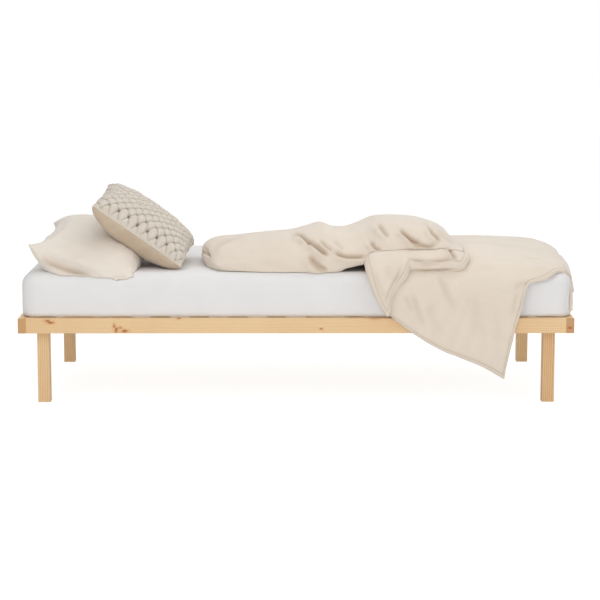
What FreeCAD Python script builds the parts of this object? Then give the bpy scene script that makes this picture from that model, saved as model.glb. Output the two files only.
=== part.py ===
"""Single floor bed: a low pine frame on four square legs, with slats, mattress and bedding.

Frame of the model, in millimetres: X runs along the bed from head (-X) to foot (+X), Y runs from the
front side (-Y) to the back (+Y) and Z is up. The origin lies on the floor under the middle of the frame.
"""
import FreeCAD, Part
import math
import os
from collections import namedtuple

import Sketcher
from FreeCAD import Vector

# Driving dimensions: word, value in millimetres or degrees, meaning.
SIZES = (
    ("frame_length", 2040.0, "outer length of the frame, over the end rails"),
    ("frame_width", 940.0, "outer width of the frame, over the side rails"),
    ("rail_thickness", 30.0, "thickness of the four rails"),
    ("rail_height", 56.0, "height of the four rails"),
    ("leg_clearance", 262.0, "clear height under the rails"),
    ("leg_section", 45.0, "side of the square legs"),
    ("leg_end_gap", 36.0, "gap between an end rail and the legs beside it"),
    ("edge_round", 2.0, "rounding of the timber's long edges"),
    ("slat_width", 70.0, "width of a slat, along the bed"),
    ("slat_thickness", 18.0, "thickness of a slat"),
    ("slat_count", 14.0, "number of slats"),
    ("slat_play", 1.5, "play between a slat's end and the side rail"),
    ("ledger_height", 27.0, "height of the strip that carries the slats"),
    ("ledger_play", 1.0, "play between a ledger's end and the leg"),
    ("bore_play", 0.1, "radial play of a fastener in its bore"),
    ("corner_bolt_diameter", 6.0, "bolt through an end rail into a side rail"),
    ("corner_head_diameter", 12.0, "head of the corner bolt"),
    ("corner_head_height", 5.0, "height of the corner bolt's head, sunk in the end rail"),
    ("corner_bolt_reach", 31.0, "length of the corner bolt inside the side rail"),
    ("hex_key", 4.0, "width across flats of the sockets in the bolts' heads"),
    ("hex_depth", 3.0, "depth of the sockets in the bolts' heads"),
    ("nut_diameter", 10.0, "diameter of a barrel nut"),
    ("nut_length", 14.0, "length of a barrel nut"),
    ("nut_setback", 20.0, "barrel nut's axis from the side rail's end"),
    ("dowel_diameter", 8.0, "diameter of a corner dowel"),
    ("dowel_reach", 20.0, "depth of a corner dowel in each rail"),
    ("dowel_spread", 16.0, "height of a corner dowel above or below the bolt"),
    ("dowel_play", 0.5, "gap past each end of a dowel"),
    ("leg_bolt_diameter", 8.0, "bolt through a leg into a side rail"),
    ("leg_head_diameter", 14.0, "head of the leg bolt"),
    ("leg_head_height", 6.0, "height of the leg bolt's head"),
    ("leg_bolt_reach", 18.0, "length of the leg bolt inside the side rail"),
    ("leg_bolt_across", 10.0, "leg bolt's axis from the leg's middle, along the bed"),
    ("leg_bolt_rise", 8.0, "leg bolt's axis above or below the middle of the joint"),
    ("washer_diameter", 16.0, "diameter of a leg bolt's washer"),
    ("washer_thickness", 1.6, "thickness of a leg bolt's washer"),
    ("insert_diameter", 12.0, "threaded insert in the side rail"),
    ("insert_length", 20.0, "length of the threaded insert"),
    ("ledger_screw_count", 6.0, "screws that hold one ledger to its side rail"),
    ("ledger_screw_diameter", 5.0, "shank of a ledger screw"),
    ("ledger_screw_bite", 15.0, "length of a ledger screw in the side rail"),
    ("ledger_screw_margin", 110.0, "first ledger screw from the ledger's end"),
    ("slat_screw_diameter", 4.0, "shank of a screw that holds an end slat to a leg"),
    ("slat_screw_bite", 20.0, "length of a slat screw below the slat"),
    ("tape_width", 30.0, "width of the two tapes that join the slats from below"),
    ("tape_thickness", 1.0, "thickness of a tape"),
    ("tape_gap", 40.0, "tape's edge from the ledger"),
    ("head_ratio", 2.0, "width of a countersunk head in shank diameters"),
    ("soft_gap", 0.3, "clearance between a soft piece and its neighbour"),
    ("mattress_inset", 18.0, "edge of the mattress core from the outside of the frame, all round"),
    ("mattress_height", 161.0, "height of the mattress core"),
    ("mattress_corner", 60.0, "rounding of the mattress's upright corners"),
    ("mattress_top_round", 46.0, "rounding of the mattress's top edges"),
    ("mattress_base_round", 12.0, "rounding of the mattress's bottom edges"),
    ("sheet_thickness", 1.0, "thickness of the fitted sheet"),
    ("sheet_hem", 90.0, "width of the sheet that is tucked under the mattress"),
    ("pillow_width", 424.0, "filled width of the pillow, along the bed"),
    ("pillow_length", 690.0, "filled length of the pillow, across the bed"),
    ("pillow_height", 142.0, "height of the pillow's crown above the sheet"),
    ("pillow_seam", 75.0, "height of the pillow's seams above the sheet, halfway between its long sides"),
    ("pillow_tilt", 8.0, "rise of the pillow's upper half towards the head, degrees"),
    ("pillow_draw", 12.0, "how far the pillow's long sides are drawn in at mid length"),
    ("pillow_head_gap", 22.0, "pillow's seam from the head end of the sheet"),
    ("pillow_front_gap", 2.0, "pillow's front end from the front of the sheet"),
    ("case_thickness", 1.2, "thickness of the pillowcase"),
    ("cushion_side", 420.0, "side of the filled cushion"),
    ("cushion_height", 128.0, "height of the filled cushion at its crown"),
    ("cushion_draw", 14.0, "how far the cushion's sides are drawn in at their middle"),
    ("cushion_lean", 35.0, "slope of the cushion, degrees from level"),
    ("cushion_roll", 7.0, "rise of the cushion towards the back, degrees"),
    ("cushion_shift", 17.0, "middle of the cushion from the pillow's seam beside it, towards the head"),
    ("cushion_inset", 280.0, "middle of the cushion from the front of the sheet"),
    ("knit_thickness", 9.0, "thickness of the knitted front"),
    ("cloth_thickness", 1.2, "thickness of the cushion's plain back"),
    ("duvet_height", 66.0, "height of the duvet where it lies in one layer"),
    ("roll_length", 990.0, "length of the part of the duvet that is rolled back"),
    ("roll_foot_gap", 375.0, "roll's foot end from the foot end of the sheet"),
    ("roll_depth", 440.0, "depth of the roll, across the bed"),
    ("roll_height", 188.0, "height of the roll above the sheet at its crown"),
    ("roll_front_gap", 38.0, "roll from the front of the sheet"),
    ("fold_height", 86.0, "height of the double layer that turns over the front edge"),
    ("fold_place", 250.0, "head side of the double layer, from the middle of the bed"),
    ("drop_thickness", 14.0, "thickness of the duvet where it hangs"),
    ("drop_wave", 6.0, "depth of the folds in the hanging part"),
    ("drop_pitch", 96.0, "distance from one hanging fold to the next"),
    ("corner_place", 763.0, "hanging corner of the duvet, from the middle of the bed"),
    ("corner_height", 96.0, "height of the hanging corner above the floor"),
    ("drop_head_place", 335.0, "head side of the hanging part, from the middle of the bed"),
    ("drop_head_height", 330.0, "height of its hem there"),
    ("drop_foot_place", 856.0, "foot side of the hanging part, from the middle of the bed"),
    ("drop_foot_height", 452.0, "height of its hem there"),
    ("duvet_taper", 45.0, "width of the border over which the duvet's layer thins out"),
    ("foot_front_gap", 60.0, "duvet's edge at the foot end from the front of the sheet"),
    ("foot_drop_height", 338.0, "height of the duvet's hem behind the foot end"),
    ("back_drop_height", 390.0, "height of the duvet's hem behind the bed"),
    ("back_drop_place", 450.0, "head side of the part that hangs behind the bed"),
)

# What follows from the driving dimensions: word, formula, meaning.
DERIVED = (
    ("rail_top", "leg_clearance + rail_height", "top of the rails and of the slats"),
    ("rail_middle", "leg_clearance + rail_height / 2", "middle height of the rails"),
    ("inner_length", "frame_length - 2 * rail_thickness", "length between the end rails"),
    ("inner_width", "frame_width - 2 * rail_thickness", "width between the side rails"),
    ("leg_height", "rail_top - slat_thickness", "legs end under the slats"),
    ("leg_place", "inner_length / 2 - leg_end_gap - leg_section / 2",
     "legs' axes from the middle, along the bed"),
    ("leg_offset", "inner_width / 2 - leg_section / 2", "legs' axes from the middle, across the bed"),
    ("joint_middle", "(leg_clearance + leg_height) / 2", "middle height of the joint of leg and rail"),
    ("ledger_length", "2 * (leg_place - leg_section / 2 - ledger_play)", "ledgers run between the legs"),
    ("ledger_screw_pitch", "(ledger_length - 2 * ledger_screw_margin) / (ledger_screw_count - 1)",
     "distance from one ledger screw to the next"),
    ("slat_length", "inner_width - 2 * slat_play", "slats lie between the side rails"),
    ("slat_pitch", "2 * leg_place / (slat_count - 1)", "end slats lie on the legs"),
    ("slat_screw_length", "slat_thickness + slat_screw_bite", "slat screw, head included"),
    ("ledger_screw_length", "leg_section + ledger_screw_bite", "ledger screw, head included"),
    ("leg_bolt_length", "leg_section + washer_thickness + leg_bolt_reach", "leg bolt under its head"),
    ("corner_bolt_length", "rail_thickness - corner_head_height + corner_bolt_reach",
     "corner bolt under its head"),
    ("dowel_length", "2 * (dowel_reach - dowel_play)", "length of a corner dowel"),
    ("mattress_length", "frame_length - 2 * mattress_inset", "length of the mattress core"),
    ("mattress_width", "frame_width - 2 * mattress_inset", "width of the mattress core"),
    ("core_base", "rail_top + 2 * soft_gap + sheet_thickness", "underside of the mattress core"),
    ("sheet_length", "mattress_length + 2 * (soft_gap + sheet_thickness)",
     "outer length of the fitted sheet"),
    ("sheet_width", "mattress_width + 2 * (soft_gap + sheet_thickness)", "outer width of the fitted sheet"),
    ("sheet_top", "core_base + mattress_height + soft_gap + sheet_thickness", "top of the fitted sheet"),
    ("rest_height", "sheet_top + soft_gap", "underside of what lies on the sheet"),
)

# A soft form's section: its place along the loft, its two side seams, and the heights of its base,
# of its seams and of its crown.
Station = namedtuple("Station", "at left right base seam crown")


def build_sheet(doc):
    """Write the driving dimensions and what follows from them into the document's spreadsheet."""
    sheet = doc.addObject("Spreadsheet::Sheet", "Sizes")
    rows = [(word, f"{size:g}", meaning) for word, size, meaning in SIZES]
    rows += [(word, "=" + formula, meaning) for word, formula, meaning in DERIVED]
    for row, (word, content, meaning) in enumerate(rows, start=1):
        sheet.set(f"A{row}", content)
        sheet.setAlias(f"A{row}", word)
        sheet.set(f"B{row}", meaning)
    doc.recompute()


def read(doc, word):
    """Return one cell of the spreadsheet as a number."""
    return float(doc.Sizes.get(word))


def on_sheet(formula):
    """Write the spreadsheet's name before each of its words in a formula."""
    words = {word for word, *_ in SIZES + DERIVED}
    text, token = "", ""
    for sign in formula + " ":
        if sign.isalnum() or sign == "_":
            token += sign
            continue
        text += ("Sizes." + token if token in words else token) + sign
        token = ""
    return text.strip()


def bind(item, **formulas):
    """Bind an object's properties to formulas; a double underscore in a name stands for a dot."""
    for name, formula in formulas.items():
        item.setExpression(name.replace("__", "."), on_sheet(formula))


def place(item, along="0", across="0", up="0", turned=False):
    """Put an object at a place given by formulas, turned half round about Z if asked."""
    angle = 180 if turned else 0
    item.Placement = FreeCAD.Placement(Vector(), FreeCAD.Rotation(Vector(0, 0, 1), angle))
    bind(item, Placement__Base__x=along, Placement__Base__y=across, Placement__Base__z=up)


# Timber: bodies with a rectangular section, rounded long edges and bores.

def new_body(doc, name):
    """Add an empty body whose label is its node's name."""
    body = doc.addObject("PartDesign::Body", name)
    body.Label = name
    return body


def new_sketch(body, name, role, offset="0"):
    """Add a sketch on one of the body's own origin planes, moved along the plane's normal."""
    sketch = body.newObject("Sketcher::SketchObject", f"{body.Name}_{name}")
    plane = next(item for item in body.Origin.OriginFeatures if item.Role == role)
    sketch.AttachmentSupport = [(plane, "")]
    sketch.MapMode = "FlatFace"
    bind(sketch, AttachmentOffset__Base__z=offset)
    return sketch


def dimension(sketch, formula, *constraint):
    """Add a driving dimension to a sketch and bind it to a formula."""
    number = sketch.addConstraint(Sketcher.Constraint(*constraint))
    sketch.setExpression(f"Constraints[{number}]", on_sheet(formula))


def draw_rectangle(sketch, wide, tall):
    """Draw a rectangle centred on the sketch's origin."""
    corners = [Vector(-5, -5, 0), Vector(5, -5, 0), Vector(5, 5, 0), Vector(-5, 5, 0)]
    for number, corner in enumerate(corners):
        sketch.addGeometry(Part.LineSegment(corner, corners[(number + 1) % 4]), False)
    for number in range(4):
        sketch.addConstraint(Sketcher.Constraint("Coincident", number, 2, (number + 1) % 4, 1))
        direction = "Vertical" if number % 2 else "Horizontal"
        sketch.addConstraint(Sketcher.Constraint(direction, number))
    sketch.addConstraint(Sketcher.Constraint("Symmetric", 0, 1, 1, 2, -1, 1))
    dimension(sketch, wide, "DistanceX", 0, 1, 0, 2, 10.0)
    dimension(sketch, tall, "DistanceY", 1, 1, 1, 2, 10.0)


def draw_circles(sketch, centres, diameter):
    """Draw circles of one diameter at centres given by pairs of formulas."""
    for across, up in centres:
        number = sketch.addGeometry(Part.Circle(Vector(1, 1, 0), Vector(0, 0, 1), 1), False)
        dimension(sketch, across, "DistanceX", -1, 1, number, 3, 1.0)
        dimension(sketch, up, "DistanceY", -1, 1, number, 3, 1.0)
        dimension(sketch, diameter, "Diameter", number, 2.0)


def add_pad(body, sketch, length):
    """Pad a sketch to both sides of its plane."""
    pad = body.newObject("PartDesign::Pad", f"{body.Name}_pad")
    pad.Profile = sketch
    pad.SideType = "Symmetric"
    bind(pad, Length=length)
    return pad


def round_edges(doc, body, base, radius, chosen, name="round"):
    """Fillet the edges of a feature that a test of their ends chooses."""
    doc.recompute()
    edges = [f"Edge{number}" for number, edge in enumerate(base.Shape.Edges, start=1) if chosen(edge)]
    fillet = body.newObject("PartDesign::Fillet", f"{body.Name}_{name}")
    fillet.Base = (base, edges)
    bind(fillet, Radius=radius)
    return fillet


def runs_along(axis):
    """Return a test for straight edges that run along an axis."""
    def test(edge):
        first, last = (edge.valueAt(at) for at in (edge.FirstParameter, edge.LastParameter))
        return abs((last - first).normalize().dot(axis)) > 0.999
    return test


def new_timber(doc, name, role, wide, tall, length, axis):
    """Make a length of planed timber, centred on its own origin, with its long edges rounded."""
    body = new_body(doc, name)
    sketch = new_sketch(body, "section", role)
    draw_rectangle(sketch, wide, tall)
    pad = add_pad(body, sketch, length)
    round_edges(doc, body, pad, "edge_round", runs_along(axis))
    return body


def add_bores(body, name, role, centres, diameter, face="", depth="", reverse=False, taper="0"):
    """Bore round holes: right through, or from a face to a depth, straight or tapered."""
    sketch = new_sketch(body, name, role, face or "0")
    draw_circles(sketch, centres, diameter)
    pocket = body.newObject("PartDesign::Pocket", f"{body.Name}_{name}_bore")
    pocket.Profile = sketch
    pocket.Reversed = reverse
    if depth:
        bind(pocket, Length=depth, TaperAngle=taper)
    else:
        pocket.Type = "ThroughAll"
        pocket.SideType = "Symmetric"
    return pocket


def repeat_along(body, feature, role, number, pitch):
    """Repeat a feature along one of the body's own axes."""
    axis = next(item for item in body.Origin.OriginFeatures if item.Role == role)
    pattern = body.newObject("PartDesign::LinearPattern", f"{feature.Name}_row")
    pattern.Originals = [feature]
    pattern.Direction = (axis, [""])
    pattern.Mode = "Spacing"
    bind(pattern, Occurrences=number, Offset=pitch)
    body.Tip = pattern


def build_side_rail(doc, name, turned):
    """Side rail between the end rails; its inner face is at +Y before it is turned."""
    body = new_timber(doc, name, "YZ_Plane", "rail_thickness", "rail_height", "inner_length", Vector(1, 0, 0))
    inner = "-rail_thickness / 2"
    for end, reverse in (("head", True), ("foot", False)):
        side = "-" if end == "head" else ""
        face = f"{side}inner_length / 2"
        add_bores(body, f"{end}_bolt", "YZ_Plane", [("0", "0")], "corner_bolt_diameter + 2 * bore_play",
                  face, "corner_bolt_reach + dowel_play", reverse)
        dowels = [("0", "dowel_spread"), ("0", "-dowel_spread")]
        add_bores(body, f"{end}_dowel", "YZ_Plane", dowels, "dowel_diameter + 2 * bore_play",
                  face, "dowel_reach", reverse)
        add_bores(body, f"{end}_nut", "XZ_Plane", [(f"{side}(inner_length / 2 - nut_setback)", "0")],
                  "nut_diameter + 2 * bore_play", inner,
                  "rail_thickness / 2 + nut_length / 2 + bore_play", True)
    inserts = [(f"{side}(leg_place {sign} leg_bolt_across)",
                f"joint_middle {rise} leg_bolt_rise - rail_middle")
               for side in ("-", "") for sign, rise in (("+", "-"), ("-", "+"))]
    add_bores(body, "insert", "XZ_Plane", inserts, "insert_diameter + 2 * bore_play",
              inner, "insert_length + bore_play", True)
    screw = add_bores(body, "ledger", "XZ_Plane",
                      [("ledger_screw_margin - ledger_length / 2",
                        "leg_height - ledger_height / 2 - rail_middle")],
                      "ledger_screw_diameter + 2 * bore_play",
                      inner, "ledger_screw_bite + dowel_play", True)
    repeat_along(body, screw, "X_Axis", "ledger_screw_count", "ledger_screw_pitch")
    shift = "(inner_width + rail_thickness) / 2"
    place(body, across=shift if turned else "-" + shift, up="rail_middle", turned=turned)
    return body


def build_end_rail(doc, name, turned):
    """End rail over the ends of the side rails; its outer face is at -X before it is turned."""
    body = new_timber(doc, name, "XZ_Plane", "rail_thickness", "rail_height", "frame_width", Vector(0, 1, 0))
    middles = [f"{side}(inner_width + rail_thickness) / 2" for side in ("-", "")]
    bolts = [(middle, "0") for middle in middles]
    add_bores(body, "bolt", "YZ_Plane", bolts, "corner_bolt_diameter + 2 * bore_play")
    add_bores(body, "head", "YZ_Plane", bolts, "corner_head_diameter + 2 * bore_play",
              "-rail_thickness / 2", "corner_head_height", True)
    dowels = [(middle, f"{rise}dowel_spread") for middle in middles for rise in ("-", "")]
    add_bores(body, "dowel", "YZ_Plane", dowels, "dowel_diameter + 2 * bore_play",
              "rail_thickness / 2", "dowel_reach")
    shift = "(inner_length + rail_thickness) / 2"
    place(body, along=shift if turned else "-" + shift, up="rail_middle", turned=turned)
    return body


def build_leg(doc, name, head_end, front):
    """Square leg inside a side rail, from the floor to the underside of the end slat."""
    body = new_timber(doc, name, "XY_Plane", "leg_section", "leg_section", "leg_height", Vector(0, 0, 1))
    bolts = [(f"{side}leg_bolt_across", f"joint_middle {side or '+'} leg_bolt_rise - leg_height / 2")
             for side in ("-", "")]
    add_bores(body, "bolt", "XZ_Plane", bolts, "leg_bolt_diameter + 2 * bore_play")
    add_bores(body, "screw", "XY_Plane", [("0", "0")], "slat_screw_diameter + 2 * bore_play",
              "leg_height / 2", "slat_screw_bite + dowel_play")
    place(body, along="-leg_place" if head_end else "leg_place",
          across="-leg_offset" if front else "leg_offset", up="leg_height / 2", turned=not head_end)
    return body


def sink_depth(shank):
    """Formula for the depth of a countersunk head, whose flanks slope at 45 degrees."""
    return f"{shank} * (head_ratio - 1) / 2"


def build_ledger(doc, name, turned):
    """Strip along a side rail, between its legs, that carries the slats' ends."""
    body = new_timber(doc, name, "YZ_Plane", "leg_section", "ledger_height", "ledger_length", Vector(1, 0, 0))
    first = [("ledger_screw_margin - ledger_length / 2", "0")]
    shank = add_bores(body, "screw", "XZ_Plane", first, "ledger_screw_diameter + 2 * bore_play")
    repeat_along(body, shank, "X_Axis", "ledger_screw_count", "ledger_screw_pitch")
    sink = add_bores(body, "sink", "XZ_Plane", first, "head_ratio * ledger_screw_diameter + 2 * bore_play",
                     "-leg_section / 2", sink_depth("ledger_screw_diameter"), True, "-45")
    repeat_along(body, sink, "X_Axis", "ledger_screw_count", "ledger_screw_pitch")
    place(body, across="leg_offset" if turned else "-leg_offset",
          up="leg_height - ledger_height / 2", turned=turned)
    return body


def build_slat(doc, name, index, screwed):
    """Slat between the side rails; the end slats are screwed to the tops of the legs."""
    body = new_timber(doc, name, "XZ_Plane", "slat_width", "slat_thickness", "slat_length", Vector(0, 1, 0))
    if screwed:
        ends = [("0", f"{side}leg_offset") for side in ("-", "")]
        add_bores(body, "screw", "XY_Plane", ends, "slat_screw_diameter + 2 * bore_play")
        add_bores(body, "sink", "XY_Plane", ends, "head_ratio * slat_screw_diameter + 2 * bore_play",
                  "slat_thickness / 2", sink_depth("slat_screw_diameter"), False, "-45")
    place(body, along=f"{index} * slat_pitch - leg_place", up="rail_top - slat_thickness / 2")
    return body


# Fasteners: each is made once, standing on its own origin with its head above it, and then copied.

def new_cylinder(doc, name, diameter, height, base="0"):
    """Upright cylinder whose lower end is at a height."""
    item = doc.addObject("Part::Cylinder", name)
    bind(item, Radius=f"({diameter}) / 2", Height=height, Placement__Base__z=base)
    return item


def new_cut(doc, name, base, tool):
    """One solid less another."""
    cut = doc.addObject("Part::Cut", name)
    cut.Base = base
    cut.Tool = tool
    return cut


def new_fuse(doc, name, *items):
    """Solids joined into one."""
    fuse = doc.addObject("Part::MultiFuse", name)
    fuse.Shapes = list(items)
    return fuse


def socket_bolt(doc, name, diameter, length, head_diameter, head_height):
    """Bolt with a round head and a hexagon socket; the origin is under the head."""
    shank = new_cylinder(doc, f"{name}_shank", diameter, length, f"-({length})")
    head = new_cylinder(doc, f"{name}_head", head_diameter, head_height)
    socket = doc.addObject("Part::Prism", f"{name}_socket")
    socket.Polygon = 6
    bind(socket, Circumradius="hex_key / sqrt(3)", Height="hex_depth",
         Placement__Base__z=f"{head_height} - hex_depth")
    return new_cut(doc, name, new_fuse(doc, f"{name}_blank", shank, head), socket)


def countersunk_screw(doc, name, diameter, length):
    """Wood screw with a countersunk head; the origin is on top of the head."""
    head = doc.addObject("Part::Cone", f"{name}_head")
    bind(head, Radius1=f"{diameter} / 2", Radius2=f"head_ratio * {diameter} / 2",
         Height=sink_depth(diameter), Placement__Base__z="-" + sink_depth(diameter))
    shank = new_cylinder(doc, f"{name}_shank", diameter, f"{length} - {sink_depth(diameter)}", f"-{length}")
    return new_fuse(doc, name, head, shank)


def bored_bar(doc, name, diameter, length, bore):
    """Round bar with a bore along its axis, centred on the origin: a washer or an insert."""
    bar = new_cylinder(doc, f"{name}_bar", diameter, length, f"-{length} / 2")
    hole = new_cylinder(doc, f"{name}_hole", f"{bore} + 2 * bore_play", length, f"-{length} / 2")
    return new_cut(doc, name, bar, hole)


def barrel_nut(doc, name):
    """Barrel nut whose threaded hole crosses it, centred on the origin."""
    bar = new_cylinder(doc, f"{name}_bar", "nut_diameter", "nut_length", "-nut_length / 2")
    hole = new_cylinder(doc, f"{name}_hole", "corner_bolt_diameter + 2 * bore_play", "nut_diameter")
    hole.Placement.Rotation = FreeCAD.Rotation(Vector(0, 1, 0), 90)
    bind(hole, Placement__Base__x="-nut_diameter / 2", Placement__Base__z="0")
    return new_cut(doc, name, bar, hole)


def add_group(doc, name, pattern, spots):
    """Copy a fastener to each spot: a place and the direction that its head points in."""
    doc.recompute()
    group = doc.addObject("Part::Feature", name)
    group.Label = name
    copies = []
    for spot, direction in spots:
        copy = pattern.Shape.copy()
        turn = FreeCAD.Rotation(Vector(0, 0, 1), direction)
        copy.Placement = FreeCAD.Placement(spot, turn).multiply(copy.Placement)
        copies.append(copy)
    group.Shape = Part.makeCompound(copies)
    return group


def build_fasteners(doc):
    """Make every fastener of the frame, each kind as one group."""
    get = lambda word: read(doc, word)
    ends, sides = (-1, 1), (-1, 1)
    corner_y = (get("inner_width") + get("rail_thickness")) / 2
    half_length, half_inner = get("frame_length") / 2, get("inner_length") / 2
    height = get("rail_middle")
    bolt = socket_bolt(doc, "corner_bolt", "corner_bolt_diameter", "corner_bolt_length",
                       "corner_head_diameter", "corner_head_height")
    head_x = half_length - get("corner_head_height")
    groups = [add_group(doc, "corner_bolts", bolt,
                        [(Vector(end * head_x, side * corner_y, height), Vector(end, 0, 0))
                         for end in ends for side in sides])]
    nut_x = half_inner - get("nut_setback")
    groups.append(add_group(doc, "barrel_nuts", barrel_nut(doc, "barrel_nut"),
                            [(Vector(end * nut_x, side * corner_y, height), Vector(0, 1, 0))
                             for end in ends for side in sides]))
    dowel = new_cylinder(doc, "corner_dowel", "dowel_diameter", "dowel_length", "-dowel_length / 2")
    groups.append(add_group(doc, "corner_dowels", dowel,
                            [(Vector(end * half_inner, side * corner_y, height + rise * get("dowel_spread")),
                              Vector(end, 0, 0)) for end in ends for side in sides for rise in sides]))
    rail_y, leg_y = get("inner_width") / 2, get("inner_width") / 2 - get("leg_section")
    spots = [(end * (get("leg_place") - rise * get("leg_bolt_across")), side,
              get("joint_middle") + rise * get("leg_bolt_rise"))
             for end in ends for side in sides for rise in sides]
    leg_bolt = socket_bolt(doc, "leg_bolt", "leg_bolt_diameter", "leg_bolt_length",
                           "leg_head_diameter", "leg_head_height")
    washer = bored_bar(doc, "leg_washer", "washer_diameter", "washer_thickness", "leg_bolt_diameter")
    insert = bored_bar(doc, "rail_insert", "insert_diameter", "insert_length", "leg_bolt_diameter")
    reaches = (("leg_bolts", leg_bolt, leg_y - get("washer_thickness")),
               ("leg_washers", washer, leg_y - get("washer_thickness") / 2),
               ("rail_inserts", insert, rail_y + get("insert_length") / 2))
    for name, pattern, reach in reaches:
        groups.append(add_group(doc, name, pattern,
                                [(Vector(x, side * reach, z), Vector(0, -side, 0)) for x, side, z in spots]))
    ledger_screw = countersunk_screw(doc, "ledger_screw", "ledger_screw_diameter", "ledger_screw_length")
    first = get("ledger_screw_margin") - get("ledger_length") / 2
    groups.append(add_group(doc, "ledger_screws", ledger_screw,
                            [(Vector(first + number * get("ledger_screw_pitch"), side * leg_y,
                                     get("leg_height") - get("ledger_height") / 2), Vector(0, -side, 0))
                             for number in range(int(get("ledger_screw_count"))) for side in sides]))
    slat_screw = countersunk_screw(doc, "slat_screw", "slat_screw_diameter", "slat_screw_length")
    groups.append(add_group(doc, "slat_screws", slat_screw,
                            [(Vector(end * get("leg_place"), side * get("leg_offset"), get("rail_top")),
                              Vector(0, 0, 1)) for end in ends for side in sides]))
    return groups


def build_tapes(doc):
    """Two woven tapes under the slats, which keep them at their spacing."""
    strips = []
    for name, side in (("front_tape", "-"), ("back_tape", "")):
        strip = doc.addObject("Part::Box", name)
        bind(strip, Length="2 * leg_place + slat_width", Width="tape_width", Height="tape_thickness",
             Placement__Base__x="-leg_place - slat_width / 2",
             Placement__Base__y=f"{side}(inner_width / 2 - leg_section - tape_gap - tape_width / 2)"
                                " - tape_width / 2",
             Placement__Base__z="leg_height - tape_thickness")
        strips.append(strip)
    tapes = doc.addObject("Part::Compound", "slat_tapes")
    tapes.Links = strips
    return tapes


# Mattress and fitted sheet.

def rounded_block(doc, name, growth):
    """The mattress's form, grown by a formula on every side, with its base growth above the frame's top."""
    body = new_body(doc, name)
    sketch = new_sketch(body, "outline", "XY_Plane")
    draw_rectangle(sketch, f"mattress_length + 2 * ({growth})", f"mattress_width + 2 * ({growth})")
    block = add_pad(body, sketch, f"mattress_height + 2 * ({growth})")
    upright = round_edges(doc, body, block, f"mattress_corner + {growth}", runs_along(Vector(0, 0, 1)),
                          "corner")
    top = round_edges(doc, body, upright, f"mattress_top_round + {growth}",
                      lambda edge: edge.BoundBox.ZMin > 1, "top")
    round_edges(doc, body, top, f"mattress_base_round + {growth}",
                lambda edge: edge.BoundBox.ZMax < -1 and edge.BoundBox.ZLength < 1, "base")
    place(body, up="core_base + mattress_height / 2")
    return body


def build_mattress(doc):
    """Mattress core, and the fitted sheet that covers it and is tucked under it all round."""
    core = rounded_block(doc, "mattress_core", "0")
    hollow = rounded_block(doc, "sheet_hollow", "soft_gap")
    outside = rounded_block(doc, "sheet_outside", "soft_gap + sheet_thickness")
    skin = new_cut(doc, "sheet_skin", outside, hollow)
    opening = doc.addObject("Part::Box", "sheet_opening")
    bind(opening, Length="sheet_length - 2 * sheet_hem", Width="sheet_width - 2 * sheet_hem",
         Height="mattress_height / 2", Placement__Base__x="sheet_hem - sheet_length / 2",
         Placement__Base__y="sheet_hem - sheet_width / 2",
         Placement__Base__z="core_base - mattress_height / 4")
    return [core, new_cut(doc, "fitted_sheet", skin, opening)]


# Soft forms: lofts through sections of lines and arcs.

def arc_through(points):
    """Edge of a circular arc through three points."""
    return Part.Arc(*points).toShape()


def crown(left, right, seam, top, sharpness=0.75):
    """Three tangent arcs from one seam over the crown to the other, as (across, up) points.

    The side arcs' radius is a share of the rise, and the middle arc is tangent to both.
    """
    half, rise = (right - left) / 2, top - seam
    side = sharpness * min(abs(rise), half)
    reach, sign = abs(rise), math.copysign(1, rise)
    radius = ((half - side) ** 2 + reach ** 2 - side ** 2) / (2 * (reach - side))
    slope = math.atan2(half - side, radius - reach)
    turn = (math.pi / 2 - slope) / 2
    knee = (half - side + side * math.cos(turn), side * math.sin(turn))
    join = (radius * math.sin(slope), reach - radius + radius * math.cos(slope))
    right_side = [join, knee, (half, 0.0)]
    left_side = [(-across, up) for across, up in reversed(right_side)]
    middle = (left + right) / 2
    return [(middle + across, seam + sign * up) for across, up in left_side + [(0.0, reach)] + right_side]


def flat_base(left, right, seam, base):
    """Quarter arc, straight base and quarter arc from the right seam to the left one."""
    radius = min(seam - base, 0.45 * (right - left))
    lag = radius * (1 - math.sqrt(0.5))
    right_side = [(right, seam), (right - lag, base + lag), (right - radius, base)]
    left_side = [(left + radius, base), (left + lag, base + lag), (left, seam)]
    return right_side + left_side


def soft_section(station, to_space, lies_flat):
    """Closed wire of a soft form's section, with a flat base or a second crown below."""
    def spread(points):
        return [to_space(across, station.at, up) for across, up in points]
    upper = spread(crown(station.left, station.right, station.seam, station.crown))
    edges = [arc_through(upper[first:first + 3]) for first in (0, 2, 4)]
    if lies_flat:
        lower = spread(flat_base(station.left, station.right, station.seam, station.base))
        edges += [arc_through(lower[:3]), Part.makeLine(lower[2], lower[3]), arc_through(lower[3:])]
    else:
        lower = spread(crown(station.left, station.right, station.seam, station.base))[::-1]
        edges += [arc_through(lower[first:first + 3]) for first in (0, 2, 4)]
    return Part.Wire(edges)


def soft_loft(stations, to_space, lies_flat=True):
    """Solid through the sections at all stations."""
    return Part.makeLoft([soft_section(each, to_space, lies_flat) for each in stations], True, True)


def across_bed(across, at, up):
    """Point of a section that stands across a loft along Y."""
    return Vector(across, at, up)


def along_bed(across, at, up):
    """Point of a section that stands across a loft along X."""
    return Vector(at, across, up)


def swell(share):
    """Fullness of a stuffed form at a share of the way from its middle (0) to its end (1)."""
    return max(0.06, (1 - abs(share) ** 2.6) ** 0.6)


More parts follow.
